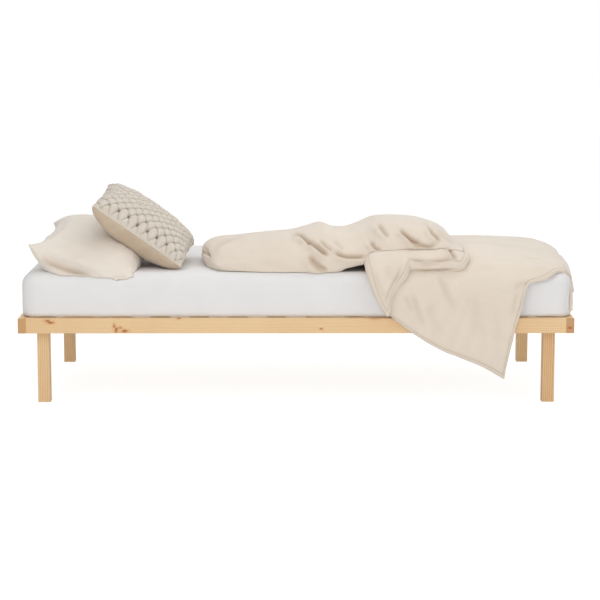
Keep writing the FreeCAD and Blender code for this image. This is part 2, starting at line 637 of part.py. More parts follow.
def stuffed_stations(width, length, seam, base, top, draw, inset=0.0, inset_top=None, inset_base=None):
    """Stations of a pillow or cushion about Y, inset on its sides, its crown and its base.

    The sides are drawn in at mid length, so that the corners stand out as ears.
    """
    inset_top = inset if inset_top is None else inset_top
    inset_base = inset if inset_base is None else inset_base
    shares = (0.35, 0.6, 0.8, 0.92, 1.0)
    stations = []
    for share in [-each for each in reversed(shares)] + [0.0] + list(shares):
        half = width / 2 - inset - draw * (1 - share ** 2)
        full = swell(share)
        stations.append(Station(share * (length / 2 - inset), -half, half,
                                seam - (seam - base - inset_base) * full, seam,
                                seam + (top - inset_top - seam) * full))
    return stations


def cushion_form(doc, inset=0.0, inset_top=None, inset_base=None):
    """The filled cushion in its own frame: its seam lies in the XY plane and its front faces +Z."""
    half = read(doc, "cushion_height") / 2
    side = read(doc, "cushion_side")
    stations = stuffed_stations(side, side, 0.0, -half, half, read(doc, "cushion_draw"),
                                inset, inset_top, inset_base)
    return soft_loft(stations, across_bed, lies_flat=False)


def cushion_placement(doc):
    """Where the cushion leans against the pillow, with its lowest point just above the sheet."""
    lean = FreeCAD.Rotation(Vector(0, 1, 0), read(doc, "cushion_lean"))
    roll = FreeCAD.Rotation(Vector(1, 0, 0), read(doc, "cushion_roll"))
    along = pillow_middle(doc) + read(doc, "pillow_width") / 2 - read(doc, "cushion_shift")
    across = read(doc, "cushion_inset") - read(doc, "sheet_width") / 2
    trial = cushion_form(doc)
    trial.Placement = FreeCAD.Placement(Vector(), lean.multiply(roll))
    lowest = trial.optimalBoundingBox().ZMin
    return FreeCAD.Placement(Vector(along, across, read(doc, "rest_height") - lowest), lean.multiply(roll))


def pillow_middle(doc):
    """Place of the pillow's middle along the bed."""
    return read(doc, "pillow_head_gap") + (read(doc, "pillow_width") - read(doc, "sheet_length")) / 2


def tilted(rest, seam, tilt):
    """Point of a section like across_bed's, raised towards the head by a tilt that sets in above the base."""
    slope = math.tan(math.radians(tilt))

    def point(across, at, up):
        """Raise a point by the square of its share of the way from the base to the seam."""
        return across_bed(across, at, up - slope * across * min(1, (up - rest) / seam) ** 2)
    return point


def pillow_form(doc, inset):
    """The filled pillow, inset from its case's outer face, with the dent that the cushion makes in it."""
    rest, seam = read(doc, "rest_height"), read(doc, "pillow_seam")
    stations = stuffed_stations(read(doc, "pillow_width"), read(doc, "pillow_length"),
                                rest + seam, rest, rest + read(doc, "pillow_height"),
                                read(doc, "pillow_draw"), inset)
    form = soft_loft(stations, tilted(rest, seam, read(doc, "pillow_tilt")))
    across = read(doc, "pillow_front_gap") + (read(doc, "pillow_length") - read(doc, "sheet_width")) / 2
    form.translate(Vector(pillow_middle(doc), across, 0))
    dent = cushion_form(doc, -(inset + read(doc, "soft_gap")))
    dent.Placement = cushion_placement(doc)
    return form.cut(dent)


def add_soft(doc, name, shape, placement=None):
    """Add a soft form as a sub-part of its own."""
    item = doc.addObject("Part::Feature", name)
    item.Label = name
    item.Shape = shape
    item.Placement = placement or FreeCAD.Placement()
    return item


def build_pillow(doc):
    """Pillowcase, and the filling inside it."""
    case, gap = read(doc, "case_thickness"), read(doc, "soft_gap")
    cover = pillow_form(doc, 0.0).cut(pillow_form(doc, case))
    return [add_soft(doc, "pillowcase", cover), add_soft(doc, "pillow_filling", pillow_form(doc, case + gap))]


def build_cushion(doc):
    """Knitted front and plain back, sewn together round the edge, and the pad between them."""
    knit, cloth, gap = (read(doc, word) for word in ("knit_thickness", "cloth_thickness", "soft_gap"))
    side, height = read(doc, "cushion_side"), read(doc, "cushion_height")
    cover = cushion_form(doc).cut(cushion_form(doc, knit, knit, cloth))
    halves = {}
    for name, low in (("cushion_knit_front", 0.0), ("cushion_plain_back", -height)):
        half = Part.makeBox(2 * side, 2 * side, height, Vector(-side, -side, low))
        halves[name] = cover.common(half)
    halves["cushion_pad"] = cushion_form(doc, knit + gap, knit + gap, cloth + gap)
    where = cushion_placement(doc)
    return [add_soft(doc, name, shape, where) for name, shape in halves.items()]


# The duvet: a roll that is folded back, the layer on the mattress, and what hangs over its edges.
# A lying part's side seams are at SEAM_SHARE of its height.
SEAM_SHARE = 0.38

# The roll's stations: shares of its length, of its depth to its front and back seams, of its height.
ROLL = ((0.0, 0.63, 1.0, 0.23), (0.065, 0.0, 1.02, 0.42), (0.16, 0.0, 1.0, 0.57), (0.37, 0.0, 0.95, 0.68),
        (0.46, 0.0, 0.95, 0.80), (0.57, 0.03, 1.0, 0.80), (0.66, 0.08, 1.03, 1.0), (0.77, 0.08, 1.03, 1.0),
        (0.85, 0.10, 1.0, 0.88), (0.92, 0.12, 0.95, 0.80), (0.98, 0.20, 0.85, 0.55), (1.0, 0.30, 0.75, 0.30))

def lying_station(doc, at, front, back, height):
    """Station of a part of the duvet that lies on the sheet."""
    rest = read(doc, "rest_height")
    return Station(at, front, back, rest, rest + SEAM_SHARE * height, rest + height)


def duvet_roll(doc):
    """The part that is rolled back over the bed, from its thin tip to the hump over the fold."""
    length, depth, height = (read(doc, word) for word in ("roll_length", "roll_depth", "roll_height"))
    start = read(doc, "sheet_length") / 2 - read(doc, "roll_foot_gap") - length
    front = read(doc, "roll_front_gap") - read(doc, "sheet_width") / 2
    return soft_loft([lying_station(doc, start + share * length, front + near * depth,
                                    front + far * depth, tall * height)
                      for share, near, far, tall in ROLL], along_bed)


# The layer's stations from its fold to the foot end: shares of the double layer's height where it
# starts, and of the single layer's height where it thins out towards the frame's end.
FOLD_START = (0.4, 0.8)
FOOT_END = (0.8, 0.65, 0.35)


def duvet_layer(doc):
    """The layer on the mattress, doubled where it turns over the front edge."""
    front = -(read(doc, "frame_width") / 2 + read(doc, "soft_gap") + read(doc, "drop_thickness"))
    back = -front
    foot = read(doc, "frame_length") / 2 + read(doc, "soft_gap") + read(doc, "drop_thickness")
    bare = read(doc, "foot_front_gap") - read(doc, "sheet_width") / 2
    fold, single, taper = (read(doc, word) for word in ("fold_height", "duvet_height", "duvet_taper"))
    head, spread, turn = (read(doc, word) for word in ("fold_place", "back_drop_place", "drop_foot_place"))
    end = read(doc, "sheet_length") / 2
    rows = [(head, front + taper, front / 2, FOLD_START[0] * fold),
            (head + taper, front, 0.0, FOLD_START[1] * fold),
            ((head + spread) / 2, front, back / 2, fold), (spread, front, back, fold),
            ((spread + turn) / 2, front, back, FOLD_START[1] * fold), (turn, front, back, single),
            (turn + taper, (front + bare) / 2, back, single)]
    rows += [(at, bare, back - taper, share * single)
             for at, share in zip((end - taper, end, foot), FOOT_END)]
    return soft_loft([lying_station(doc, *row) for row in rows], along_bed)


def curtain(doc, first, last, face, hem, to_space, top, wave, outward):
    """Hanging cloth between two places: a flat inner face, and an outer one with upright folds."""
    thickness, pitch = read(doc, "drop_thickness"), read(doc, "drop_pitch")
    steps = max(4, 8 * round((last - first) / pitch))
    wires = []
    for step in range(steps + 1):
        at = first + (last - first) * step / steps
        bulge = wave * (0.5 - 0.5 * math.cos(2 * math.pi * (at - first) / pitch))
        outer = face + outward * (thickness + bulge)
        corners = [to_space(face, at, hem(at)), to_space(outer, at, hem(at)),
                   to_space(outer, at, top), to_space(face, at, top)]
        wires.append(Part.makePolygon(corners + corners[:1]))
    return Part.makeLoft(wires, True, True)


def duvet_drops(doc):
    """What hangs over the front, with one corner down, over the foot end and over the back."""
    get = lambda word: read(doc, word)
    side = get("frame_width") / 2 + get("soft_gap")
    foot = get("frame_length") / 2 + get("soft_gap")
    top = get("rest_height") + SEAM_SHARE * get("duvet_height")
    low, corner = get("corner_height"), get("corner_place")
    head, end, taper = get("drop_head_place"), get("drop_foot_place"), get("duvet_taper")

    def front_hem(at):
        """Height of the hem: down to the hanging corner and steeply up again."""
        if at <= corner:
            return low + (get("drop_head_height") - low) * (corner - at) / (corner - head)
        return low + (get("drop_foot_height") - low) * (at - corner) / (end - corner)

    front_edge = get("foot_front_gap") - get("sheet_width") / 2
    low_top = get("rest_height") + 0.1 * get("duvet_height")
    return [curtain(doc, head, end, -side, front_hem, along_bed, top, get("drop_wave"), -1),
            curtain(doc, front_edge, side - taper, foot, lambda at: get("foot_drop_height"), across_bed,
                    low_top, get("drop_wave") / 2, 1),
            curtain(doc, get("back_drop_place"), get("sheet_length") / 2 - taper, side,
                    lambda at: get("back_drop_height"), along_bed, low_top, 0.0, 1)]


def build_duvet(doc):
    """The duvet as one filled form."""
    whole = duvet_roll(doc).multiFuse([duvet_layer(doc)] + duvet_drops(doc)).removeSplitter()
    return [add_soft(doc, "duvet", whole)]


def check(doc, parts):
    """Stop if any object of the document failed or any sub-part is not sound."""
    for item in doc.Objects:
        if {"Invalid", "Error"} & set(item.State):
            raise RuntimeError(f"{item.Name} failed: {item.State}")
    for part in parts:
        if part.Shape.isNull() or not part.Shape.isValid() or not part.Shape.Solids:
            raise RuntimeError(f"{part.Label} is not a sound solid")


def export(parts, folder="parts"):
    """Write each sub-part's shape to its own STEP file."""
    os.makedirs(folder, exist_ok=True)
    for part in parts:
        part.Shape.exportStep(os.path.join(folder, part.Label + ".step"))
        print(f"{part.Label}: {len(part.Shape.Solids)} solids, {part.Shape.Volume / 1000:.1f} cm3")


def main():
    """Build the whole bed and write its parts."""
    doc = FreeCAD.newDocument("FloorBed")
    build_sheet(doc)
    parts = [build_side_rail(doc, "front_side_rail", False), build_side_rail(doc, "back_side_rail", True),
             build_end_rail(doc, "head_end_rail", False), build_end_rail(doc, "foot_end_rail", True)]
    for end, head_end in (("head", True), ("foot", False)):
        for side, front in (("front", True), ("back", False)):
            parts.append(build_leg(doc, f"{side}_{end}_leg", head_end, front))
    parts += [build_ledger(doc, "front_ledger", False), build_ledger(doc, "back_ledger", True)]
    last = int(read(doc, "slat_count")) - 1
    parts += [build_slat(doc, f"slat_{index + 1:02d}", index, index in (0, last))
              for index in range(last + 1)]
    parts += [build_tapes(doc)] + build_fasteners(doc) + build_mattress(doc)
    parts += build_pillow(doc) + build_cushion(doc) + build_duvet(doc)
    doc.recompute()
    check(doc, parts)
    export(parts)


main()
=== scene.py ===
"""Looks of a single floor bed: a low pine frame with a dressed mattress, a pillow, a cushion and a duvet.

All lengths are in metres in the shared frame: X runs along the bed from head (-X) to foot (+X), Y from
the front side (-Y) to the back (+Y) and Z is up. The origin lies on the floor under the frame's middle.
"""

import logging
import math
from collections.abc import Callable, Sequence
from dataclasses import dataclass, field
from enum import Enum

import bmesh
import bpy
import numpy as np
from bpy.types import Material, Node, NodeSocket, NodeTree, Object, World
from mathutils import Euler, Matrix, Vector, noise
from mathutils.bvhtree import BVHTree
from mathutils.kdtree import KDTree

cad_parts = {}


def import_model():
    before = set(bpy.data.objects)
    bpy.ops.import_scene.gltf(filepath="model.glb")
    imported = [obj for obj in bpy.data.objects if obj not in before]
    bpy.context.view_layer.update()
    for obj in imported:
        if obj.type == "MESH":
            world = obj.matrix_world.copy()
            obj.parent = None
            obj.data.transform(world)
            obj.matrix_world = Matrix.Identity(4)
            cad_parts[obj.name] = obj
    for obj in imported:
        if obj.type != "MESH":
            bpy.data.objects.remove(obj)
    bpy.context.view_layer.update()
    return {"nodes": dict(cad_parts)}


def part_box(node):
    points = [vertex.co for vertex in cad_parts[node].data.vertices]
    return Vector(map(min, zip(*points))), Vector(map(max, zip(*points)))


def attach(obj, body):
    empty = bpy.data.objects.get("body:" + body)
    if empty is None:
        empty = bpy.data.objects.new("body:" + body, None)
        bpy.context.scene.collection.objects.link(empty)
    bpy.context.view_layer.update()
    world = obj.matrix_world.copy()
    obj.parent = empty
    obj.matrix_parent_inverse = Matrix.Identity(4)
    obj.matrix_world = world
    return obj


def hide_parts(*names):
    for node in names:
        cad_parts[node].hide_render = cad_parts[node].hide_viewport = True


LOG = logging.getLogger("floor_bed")
PHOTO_SIDE = 600  # the photograph's width and height, in pixels
MM = 0.001
WHITE = (1, 1, 1, 1)
WAVE_STEP = 0.314  # distance between the bands of a wave texture at a scale of 1, in metres


class Axis(Enum):
    """Direction in which a timber's grain runs."""

    X = 0
    Y = 1
    Z = 2


class Coordinates(Enum):
    """What a woven pattern follows: the shared frame, or the cloth's own flat cut."""

    OBJECT = "Object"
    CUT = "UV"


# --- Small tools ---

def colour(code: str) -> tuple[float, float, float, float]:
    """Turn an sRGB hex code into a linear colour.

    Args:
        code: the colour as "#rrggbb".

    Returns:
        Red, green, blue and an alpha of 1.
    """
    parts = [int(code[at:at + 2], 16) / 255 for at in (1, 3, 5)]
    linear = [part / 12.92 if part <= 0.04045 else ((part + 0.055) / 1.055) ** 2.4 for part in parts]
    return (*linear, 1.0)


def connect(node: Node, inputs: dict) -> None:
    """Fill a node's inputs.

    Args:
        node: the node.
        inputs: by the name or number of each input, a value, an output socket, or a node whose first
            output is meant.
    """
    for name, value in inputs.items():
        source = value.outputs[0] if isinstance(value, Node) else value
        if isinstance(source, NodeSocket):
            node.id_data.links.new(source, node.inputs[name])
        else:
            node.inputs[name].default_value = source


def add_node(tree: NodeTree, kind: str, sets: dict | None = None, inputs: dict | None = None,
             stops: Sequence[tuple[float, tuple]] = ()) -> Node:
    """Add a shader node with its settings and links.

    Args:
        tree: the node tree.
        kind: the node's type, without the "ShaderNode" that every type here starts with.
        sets: the node's own settings by name.
        inputs: what fills its inputs, as connect takes it.
        stops: a colour ramp's positions from 0 to 1, with their linear colours.

    Returns:
        The new node.
    """
    made = tree.nodes.new("ShaderNode" + kind)
    for word, value in (sets or {}).items():
        setattr(made, word, value)
    connect(made, inputs or {})
    if stops:
        elements = made.color_ramp.elements
        while len(elements) < len(stops):
            elements.new(1.0)
        for element, (place, tint) in zip(elements, stops):
            element.position = place
            element.color = tint
    return made


def bare_tree(owner: Material | World) -> NodeTree:
    """Give a material or a world an empty node tree."""
    owner.use_nodes = True
    owner.node_tree.nodes.clear()
    return owner.node_tree


def new_material(name: str) -> tuple[Material, NodeTree, Node]:
    """Start a material.

    Args:
        name: the finish's name.

    Returns:
        The material, its node tree and its principled shader.
    """
    material = bpy.data.materials.new(name)
    tree = bare_tree(material)
    shader = add_node(tree, "BsdfPrincipled")
    add_node(tree, "OutputMaterial", inputs={"Surface": shader})
    return material, tree, shader


def link_object(name: str, data: bpy.types.ID) -> Object:
    """Add an object with its data to the scene, at the origin."""
    made = bpy.data.objects.new(name, data)
    bpy.context.scene.collection.objects.link(made)
    return made


def new_object(name: str, mesh: bmesh.types.BMesh, finish: Material) -> Object:
    """Turn a bmesh into a smooth-shaded object in the scene.

    Args:
        name: the piece's name.
        mesh: its geometry, which is freed.
        finish: its material.

    Returns:
        The object, at the origin.
    """
    data = bpy.data.meshes.new(name)
    mesh.to_mesh(data)
    mesh.free()
    data.polygons.foreach_set("use_smooth", [True] * len(data.polygons))
    data.materials.append(finish)
    return link_object(name, data)


def bmesh_of(piece: Object) -> bmesh.types.BMesh:
    """Copy a piece's mesh into a bmesh."""
    mesh = bmesh.new()
    mesh.from_mesh(piece.data)
    return mesh


def add_grid(mesh: bmesh.types.BMesh, counts: Sequence[int]) -> tuple[list, np.ndarray]:
    """Add a flat grid to a mesh.

    Args:
        mesh: the mesh.
        counts: numbers of cells along X and Y.

    Returns:
        The grid's vertices, and the column and row of each.
    """
    made = bmesh.ops.create_grid(mesh, x_segments=counts[0], y_segments=counts[1], size=0.5)["verts"]
    places = np.array([point.co for point in made])[:, :2]
    return made, np.rint((places + 0.5) * counts).astype(int)


def search_tree(places: Sequence[Sequence[float]]) -> KDTree:
    """Return a tree that finds the nearest of some places."""
    tree = KDTree(len(places))
    for number, place in enumerate(places):
        tree.insert(place, number)
    tree.balance()
    return tree


def read_points(piece: Object) -> np.ndarray:
    """Return a piece's vertices as an array of points."""
    points = np.zeros(len(piece.data.vertices) * 3)
    piece.data.vertices.foreach_get("co", points)
    return points.reshape(-1, 3)


def write_points(piece: Object, points: np.ndarray) -> None:
    """Move a piece's vertices to an array of points."""
    piece.data.vertices.foreach_set("co", np.asarray(points, float).ravel())
    piece.data.update()


def read_normals(piece: Object) -> np.ndarray:
    """Return a piece's vertex normals."""
    normals = np.zeros(len(piece.data.vertices) * 3)
    piece.data.vertex_normals.foreach_get("vector", normals)
    return normals.reshape(-1, 3)


def apply_modifiers(piece: Object) -> None:
    """Replace a piece's mesh by what its modifiers make of it."""
    graph = bpy.context.evaluated_depsgraph_get()
    graph.update()
    old = piece.data
    piece.data = bpy.data.meshes.new_from_object(piece.evaluated_get(graph), depsgraph=graph)
    piece.data.name = piece.name
    piece.modifiers.clear()
    bpy.data.meshes.remove(old)


def smooth_step(value: np.ndarray | float, low: float, high: float) -> np.ndarray:
    """Rise smoothly from 0 at low to 1 at high."""
    share = np.clip((np.asarray(value, float) - low) / (high - low), 0, 1)
    return share * share * (3 - 2 * share)


def curve_through(knots: Sequence[tuple[float, float]], at: np.ndarray | float) -> np.ndarray:
    """Read a smooth curve through knots.

    Args:
        knots: pairs of place and value, in order of place.
        at: where the curve is read.

    Returns:
        Its values, held constant beyond the ends. The slopes keep the curve from overshooting.
    """
    places, values = (np.array(column, float) for column in zip(*knots))
    steps = np.diff(values) / np.diff(places)
    before, after = steps[:-1], steps[1:]
    inner = np.where(before * after > 0, 2 * before * after / (before + after + 1e-12), 0)
    slopes = np.concatenate([[steps[0]], inner, [steps[-1]]])
    at = np.clip(np.asarray(at, float), places[0], places[-1])
    left = np.clip(np.searchsorted(places, at, side="right") - 1, 0, len(places) - 2)
    width = places[left + 1] - places[left]
    share = (at - places[left]) / width
    return ((1 + 2 * share) * (1 - share) ** 2 * values[left]
            + share * (1 - share) ** 2 * width * slopes[left]
            + share ** 2 * (3 - 2 * share) * values[left + 1]
            + share ** 2 * (share - 1) * width * slopes[left + 1])


def fractal(points: np.ndarray, scale: Sequence[float], octaves: int = 3, seed: float = 0.0) -> np.ndarray:
    """Read smooth noise at many points.

    Args:
        points: the points.
        scale: waves per metre along each axis.
        octaves: how many sizes of wave are added.
        seed: a shift that gives another pattern.

    Returns:
        Values that lie mostly between -1 and 1.
    """
    spread = points * np.array(scale) + seed
    return np.array([noise.fractal(Vector(point), 0.6, 2.0, octaves) for point in spread])


@dataclass(frozen=True)
class View:
    """The photograph's viewpoint, fitted to the corners of the legs and rails."""

    place: Vector = field(default_factory=lambda: Vector((-0.01307, -7.59403, 1.44582)))
    pitch: float = 0.1477  # downwards, radians
    yaw: float = -0.0038  # to the left, radians
    focal_pixels: float = 1969.42
    sensor: float = 36.0  # millimetres

    def add_camera(self) -> None:
        """Add the camera and make it the scene's own."""
        data = bpy.data.cameras.new("photo_view")
        data.sensor_width = self.sensor
        data.lens = self.focal_pixels * self.sensor / PHOTO_SIDE
        camera = link_object("photo_view", data)
        camera.location = self.place
        camera.rotation_euler = Euler((math.pi / 2 - self.pitch, 0, self.yaw))
        bpy.context.scene.camera = camera

    def pixels(self, points: np.ndarray) -> np.ndarray:
        """Project points into the photograph.

        Args:
            points: an array of points.

        Returns:
            Their pixels, right and down from the photograph's upper left corner.
        """
        cos_p, sin_p = math.cos(self.pitch), math.sin(self.pitch)
        cos_y, sin_y = math.cos(self.yaw), math.sin(self.yaw)
        right = np.array([cos_y, sin_y, 0])
        ahead = np.array([-sin_y * cos_p, cos_y * cos_p, -sin_p])
        above = np.cross(right, ahead)
        away = points - np.array(self.place)
        depth = away @ ahead
        middle = PHOTO_SIDE / 2
        return np.stack([middle + self.focal_pixels * (away @ right) / depth,
                         middle - self.focal_pixels * (away @ above) / depth], axis=1)


# --- Finishes ---

@dataclass(frozen=True)
class Knot:
    """A branch's trace in a board: its middle, its half width, half height and darkness."""

    middle: tuple[float, float, float]
    reach: tuple[float, float, float]
    depth: float


@dataclass(frozen=True)
class PlanedPine:
    """Planed pine under matt oil: pale honey wood with fine darker late wood and a soft gloss."""

    name: str
    grain: Axis
    pith: tuple[float, float, float]
    knots: tuple[Knot, ...] = ()
    early_wood: str = "#e9cb9f"
    late_wood: str = "#d6aa74"
    heart_wood: str = "#c98a52"
    end_wood: str = "#c08a55"
    knot_wood: str = "#8f4d1f"
    halo_wood: str = "#d08b47"  # resin-soaked wood round a knot
    ring_width: float = 4.2 * MM
    fibre_width: float = 0.9 * MM
    roughness: float = 0.5

    def build(self) -> Material:
        """Make the material; the rings are cut by each face as a saw would cut them."""
        material, tree, shader = new_material(self.name)
        place = add_node(tree, "TexCoord")
        where = place.outputs["Object"]
        turn = {Axis.X: (0, 0, 0), Axis.Y: (0, 0, math.pi / 2), Axis.Z: (0, math.pi / 2, 0)}[self.grain]
        board = add_node(tree, "Mapping", inputs={
            "Vector": where, "Location": self.pith, "Rotation": turn})
        slow = add_node(tree, "Mapping", inputs={"Vector": board, "Scale": (1.6, 9.0, 9.0)})
        drift = add_node(tree, "TexNoise", inputs={
            "Vector": slow, "Scale": 1.0, "Detail": 3.0, "Roughness": 0.45})
        near = self._nearness(tree, where)
        phase = add_node(tree, "Math", {"operation": "MULTIPLY_ADD"}, {
            0: drift, 1: 26.0, 2: near["swirl"]})
        rings = add_node(tree, "TexWave", {
            "wave_type": "RINGS", "rings_direction": "X", "wave_profile": "SAW"}, {
            "Vector": board, "Scale": WAVE_STEP / self.ring_width, "Distortion": 0.0,
            "Phase Offset": phase}).outputs["Fac"]
        along, across = 0.03 / self.fibre_width, 1 / self.fibre_width
        fine = add_node(tree, "Mapping", inputs={"Vector": board, "Scale": (along, across, across)})
        fibres = add_node(tree, "TexNoise", inputs={
            "Vector": fine, "Scale": 1.0, "Detail": 2.0, "Roughness": 0.6})
        broad = add_node(tree, "TexNoise", inputs={"Vector": board, "Scale": 2.3, "Detail": 1.0})
        faces = add_node(tree, "SeparateXYZ", inputs={"Vector": place.outputs["Normal"]})
        sawn = add_node(tree, "Math", {"operation": "ABSOLUTE"}, {0: faces.outputs[self.grain.value]})
        early, late = colour(self.early_wood), colour(self.late_wood)
        wood = add_node(tree, "ValToRGB", inputs={"Fac": rings},
                        stops=((0.0, early), (0.55, early), (0.93, late), (1.0, early)))
        tints = []
        for source, low, high, most, tint in ((fibres, 0.45, 0.80, 0.35, self.late_wood),
                                              (broad, 0.42, 0.75, 0.30, self.heart_wood),
                                              (sawn, 0.60, 0.95, 0.62, self.end_wood)):
            tints.append((add_node(tree, "MapRange", inputs={
                "Value": source, "From Min": low, "From Max": high, "To Max": most}), tint))
        for share, tint in (*tints, (near["halo"], self.halo_wood), (near["core"], self.knot_wood)):
            wood = add_node(tree, "Mix", {"data_type": "RGBA"}, {
                0: share, 6: wood, 7: colour(tint)}).outputs[2]
        relief = add_node(tree, "Math", {"operation": "ADD"}, {0: rings, 1: fibres})
        bump = add_node(tree, "Bump", inputs={
            "Strength": 0.35, "Distance": 0.25 * MM, "Height": relief})
        connect(shader, {"Base Color": wood, "Roughness": self.roughness, "Normal": bump})
        return material

    def _nearness(self, tree: NodeTree, where: NodeSocket) -> dict[str, Node]:
        """Add up how near each point is to the knots.

        Args:
            tree: the node tree.
            where: object coordinates.

        Returns:
            "core", the knots' darkness from 0 to 1, "halo", the tint round them, and "swirl", how far
            the rings bend round them.
        """
        near = dict.fromkeys(("core", "halo", "swirl"),
                             add_node(tree, "Math", {"operation": "ADD"}, {0: 0.0, 1: 0.0}))
        ragged = add_node(tree, "TexNoise", inputs={"Vector": where, "Scale": 110.0, "Detail": 2.0})
        uneven = add_node(tree, "MapRange", inputs={
            "Value": ragged, "From Min": 0.3, "From Max": 0.7, "To Min": 0.72, "To Max": 1.3})
        for knot in self.knots:
            away = add_node(tree, "VectorMath", {"operation": "SUBTRACT"}, {0: where, 1: knot.middle})
            scaled = add_node(tree, "VectorMath", {"operation": "DIVIDE"}, {0: away, 1: knot.reach})
            length = add_node(tree, "VectorMath", {"operation": "LENGTH"}, {0: scaled}).outputs["Value"]
            distance = add_node(tree, "Math", {"operation": "MULTIPLY"}, {0: length, 1: uneven})
            for part, joined, start, end, most in (("core", "MAXIMUM", 0.3, 1.3, knot.depth),
                                                   ("halo", "MAXIMUM", 0.5, 2.6, 0.8 * knot.depth),
                                                   ("swirl", "ADD", 0.0, 5.0, 9.0)):
                share = add_node(tree, "MapRange", {"interpolation_type": "SMOOTHSTEP"}, {
                    "Value": distance, "From Min": start, "From Max": end, "To Min": most,
                    "To Max": 0.0})
                near[part] = add_node(tree, "Math", {"operation": joined}, {0: near[part], 1: share})
        return near


@dataclass(frozen=True)
class WovenCotton:
    """Plain-woven cotton: matt, with faint slubs, a soft sheen at its edges, barely seen threads, and painted
    shade where its slubs and crumples sink.

    The real threads lie 0.3 mm apart, too fine to show, so they are drawn at the pitch given here.
    """

    name: str
    thread: str
    # painted shade: the colour where the slubs and crumples sink
    hollow_shade: str
    pitch: float = 1.6 * MM
    follows: Coordinates = Coordinates.OBJECT
    relief: float = 0.25 * MM
    crease: str = "#b39a80"  # painted shade along the creases, warmed as light bounced between two folds takes the cloth's own tone twice
    crumple: float = 1.2 * MM
    crumple_size: float = 55 * MM
    sheen: float = 0.25
    roughness: float = 0.88

    def build(self) -> Material:
        """Make the material: threads and slubs in the bump, with painted shade where the slubs and crumples
        sink and along the creases.
        """
        material, tree, shader = new_material(self.name)
        where = add_node(tree, "TexCoord").outputs[self.follows.value]
        directions = ("X", "Y") if self.follows is Coordinates.CUT else ("X", "Y", "Z")
        waves = [add_node(tree, "TexWave", {"bands_direction": direction}, {
            "Vector": where, "Scale": WAVE_STEP / self.pitch, "Distortion": 1.2, "Detail": 1.0,
            "Detail Scale": 0.6}).outputs["Fac"] for direction in directions]
        weave = waves[0]
        for wave in waves[1:]:
            weave = add_node(tree, "Math", {"operation": "MAXIMUM"}, {0: weave, 1: wave})
        slubs = add_node(tree, "TexNoise", inputs={
            "Vector": where, "Scale": 0.35 / self.pitch, "Detail": 4.0, "Roughness": 0.65})
        soft = add_node(tree, "TexNoise", inputs={
            "Vector": where, "Scale": 1 / self.crumple_size, "Detail": 3.0, "Roughness": 0.5,
            "Distortion": 0.8})
        # painted shade: the tone follows the same slubs and crumples as the bump, darker where they sink
        tone = add_node(tree, "Math", {"operation": "MULTIPLY_ADD"}, {0: slubs, 1: 0.35, 2: soft})
        shade = add_node(tree, "MapRange", inputs={"Value": tone, "From Min": 0.35, "From Max": 1.05})
        # painted shade along the creases and the hem's stitch grooves, from the attribute that they write
        creases = add_node(tree, "Attribute", {"attribute_name": "crease"}).outputs["Fac"]
        cloth = colour(self.hollow_shade)
        for share, tint in ((shade, self.thread), (creases, self.crease)):
            cloth = add_node(tree, "Mix", {"data_type": "RGBA"}, {
                0: share, 6: cloth, 7: colour(tint)}).outputs[2]
        crumpled = add_node(tree, "Bump", inputs={
            "Strength": 0.5, "Distance": self.crumple, "Height": soft})
        both = add_node(tree, "Math", {"operation": "MULTIPLY_ADD"}, {0: slubs, 1: 0.6, 2: weave})
        bump = add_node(tree, "Bump", inputs={
            "Strength": 0.5, "Distance": self.relief, "Height": both, "Normal": crumpled})
        connect(shader, {"Base Color": cloth, "Roughness": self.roughness, "Sheen Weight": self.sheen,
                         "Sheen Roughness": 0.5, "Specular IOR Level": 0.3, "Normal": bump})
        return material


@dataclass(frozen=True)
class PlainMetal:
    """Zinc-plated steel: a bluish grey metal with a satin gloss and a faint spangle."""

    name: str = "zinc_plated_steel"
    face: str = "#c3c6c9"
    worn: str = "#a4a8ac"
    roughness: float = 0.34
    spangle: float = 3.0 * MM

    def build(self) -> Material:
        """Make the material."""
        material, tree, shader = new_material(self.name)
        where = add_node(tree, "TexCoord").outputs["Object"]
        patches = add_node(tree, "TexNoise", inputs={
            "Vector": where, "Scale": 1 / self.spangle, "Detail": 2.0})
        tint = add_node(tree, "Mix", {"data_type": "RGBA"}, {
            0: patches, 6: colour(self.face), 7: colour(self.worn)}).outputs[2]
        bump = add_node(tree, "Bump", inputs={
            "Strength": 0.2, "Distance": 0.1 * MM, "Height": patches})
        connect(shader, {"Base Color": tint, "Metallic": 1.0, "Roughness": self.roughness,
                         "Normal": bump})
        return material


@dataclass(frozen=True)
class OpenFoam:
    """Polyurethane foam: pale, matt and full of small open cells, with painted shade in the cells."""

    name: str = "mattress_foam"
    wall: str = "#efe9d8"
    # painted shade: the colour deep in the open cells
    pore_shade: str = "#cfc6ab"
    cell: float = 2.2 * MM

    def build(self) -> Material:
        """Make the material."""
        material, tree, shader = new_material(self.name)
        where = add_node(tree, "TexCoord").outputs["Object"]
        cells = add_node(tree, "TexVoronoi", inputs={"Vector": where, "Scale": 1 / self.cell})
        tint = add_node(tree, "ValToRGB", inputs={"Fac": cells},
                        stops=((0.0, colour(self.pore_shade)), (0.5, colour(self.wall))))
        bump = add_node(tree, "Bump", inputs={"Strength": 0.6, "Distance": 0.6 * MM, "Height": cells})
        connect(shader, {"Base Color": tint, "Roughness": 0.95, "Normal": bump})
        return material


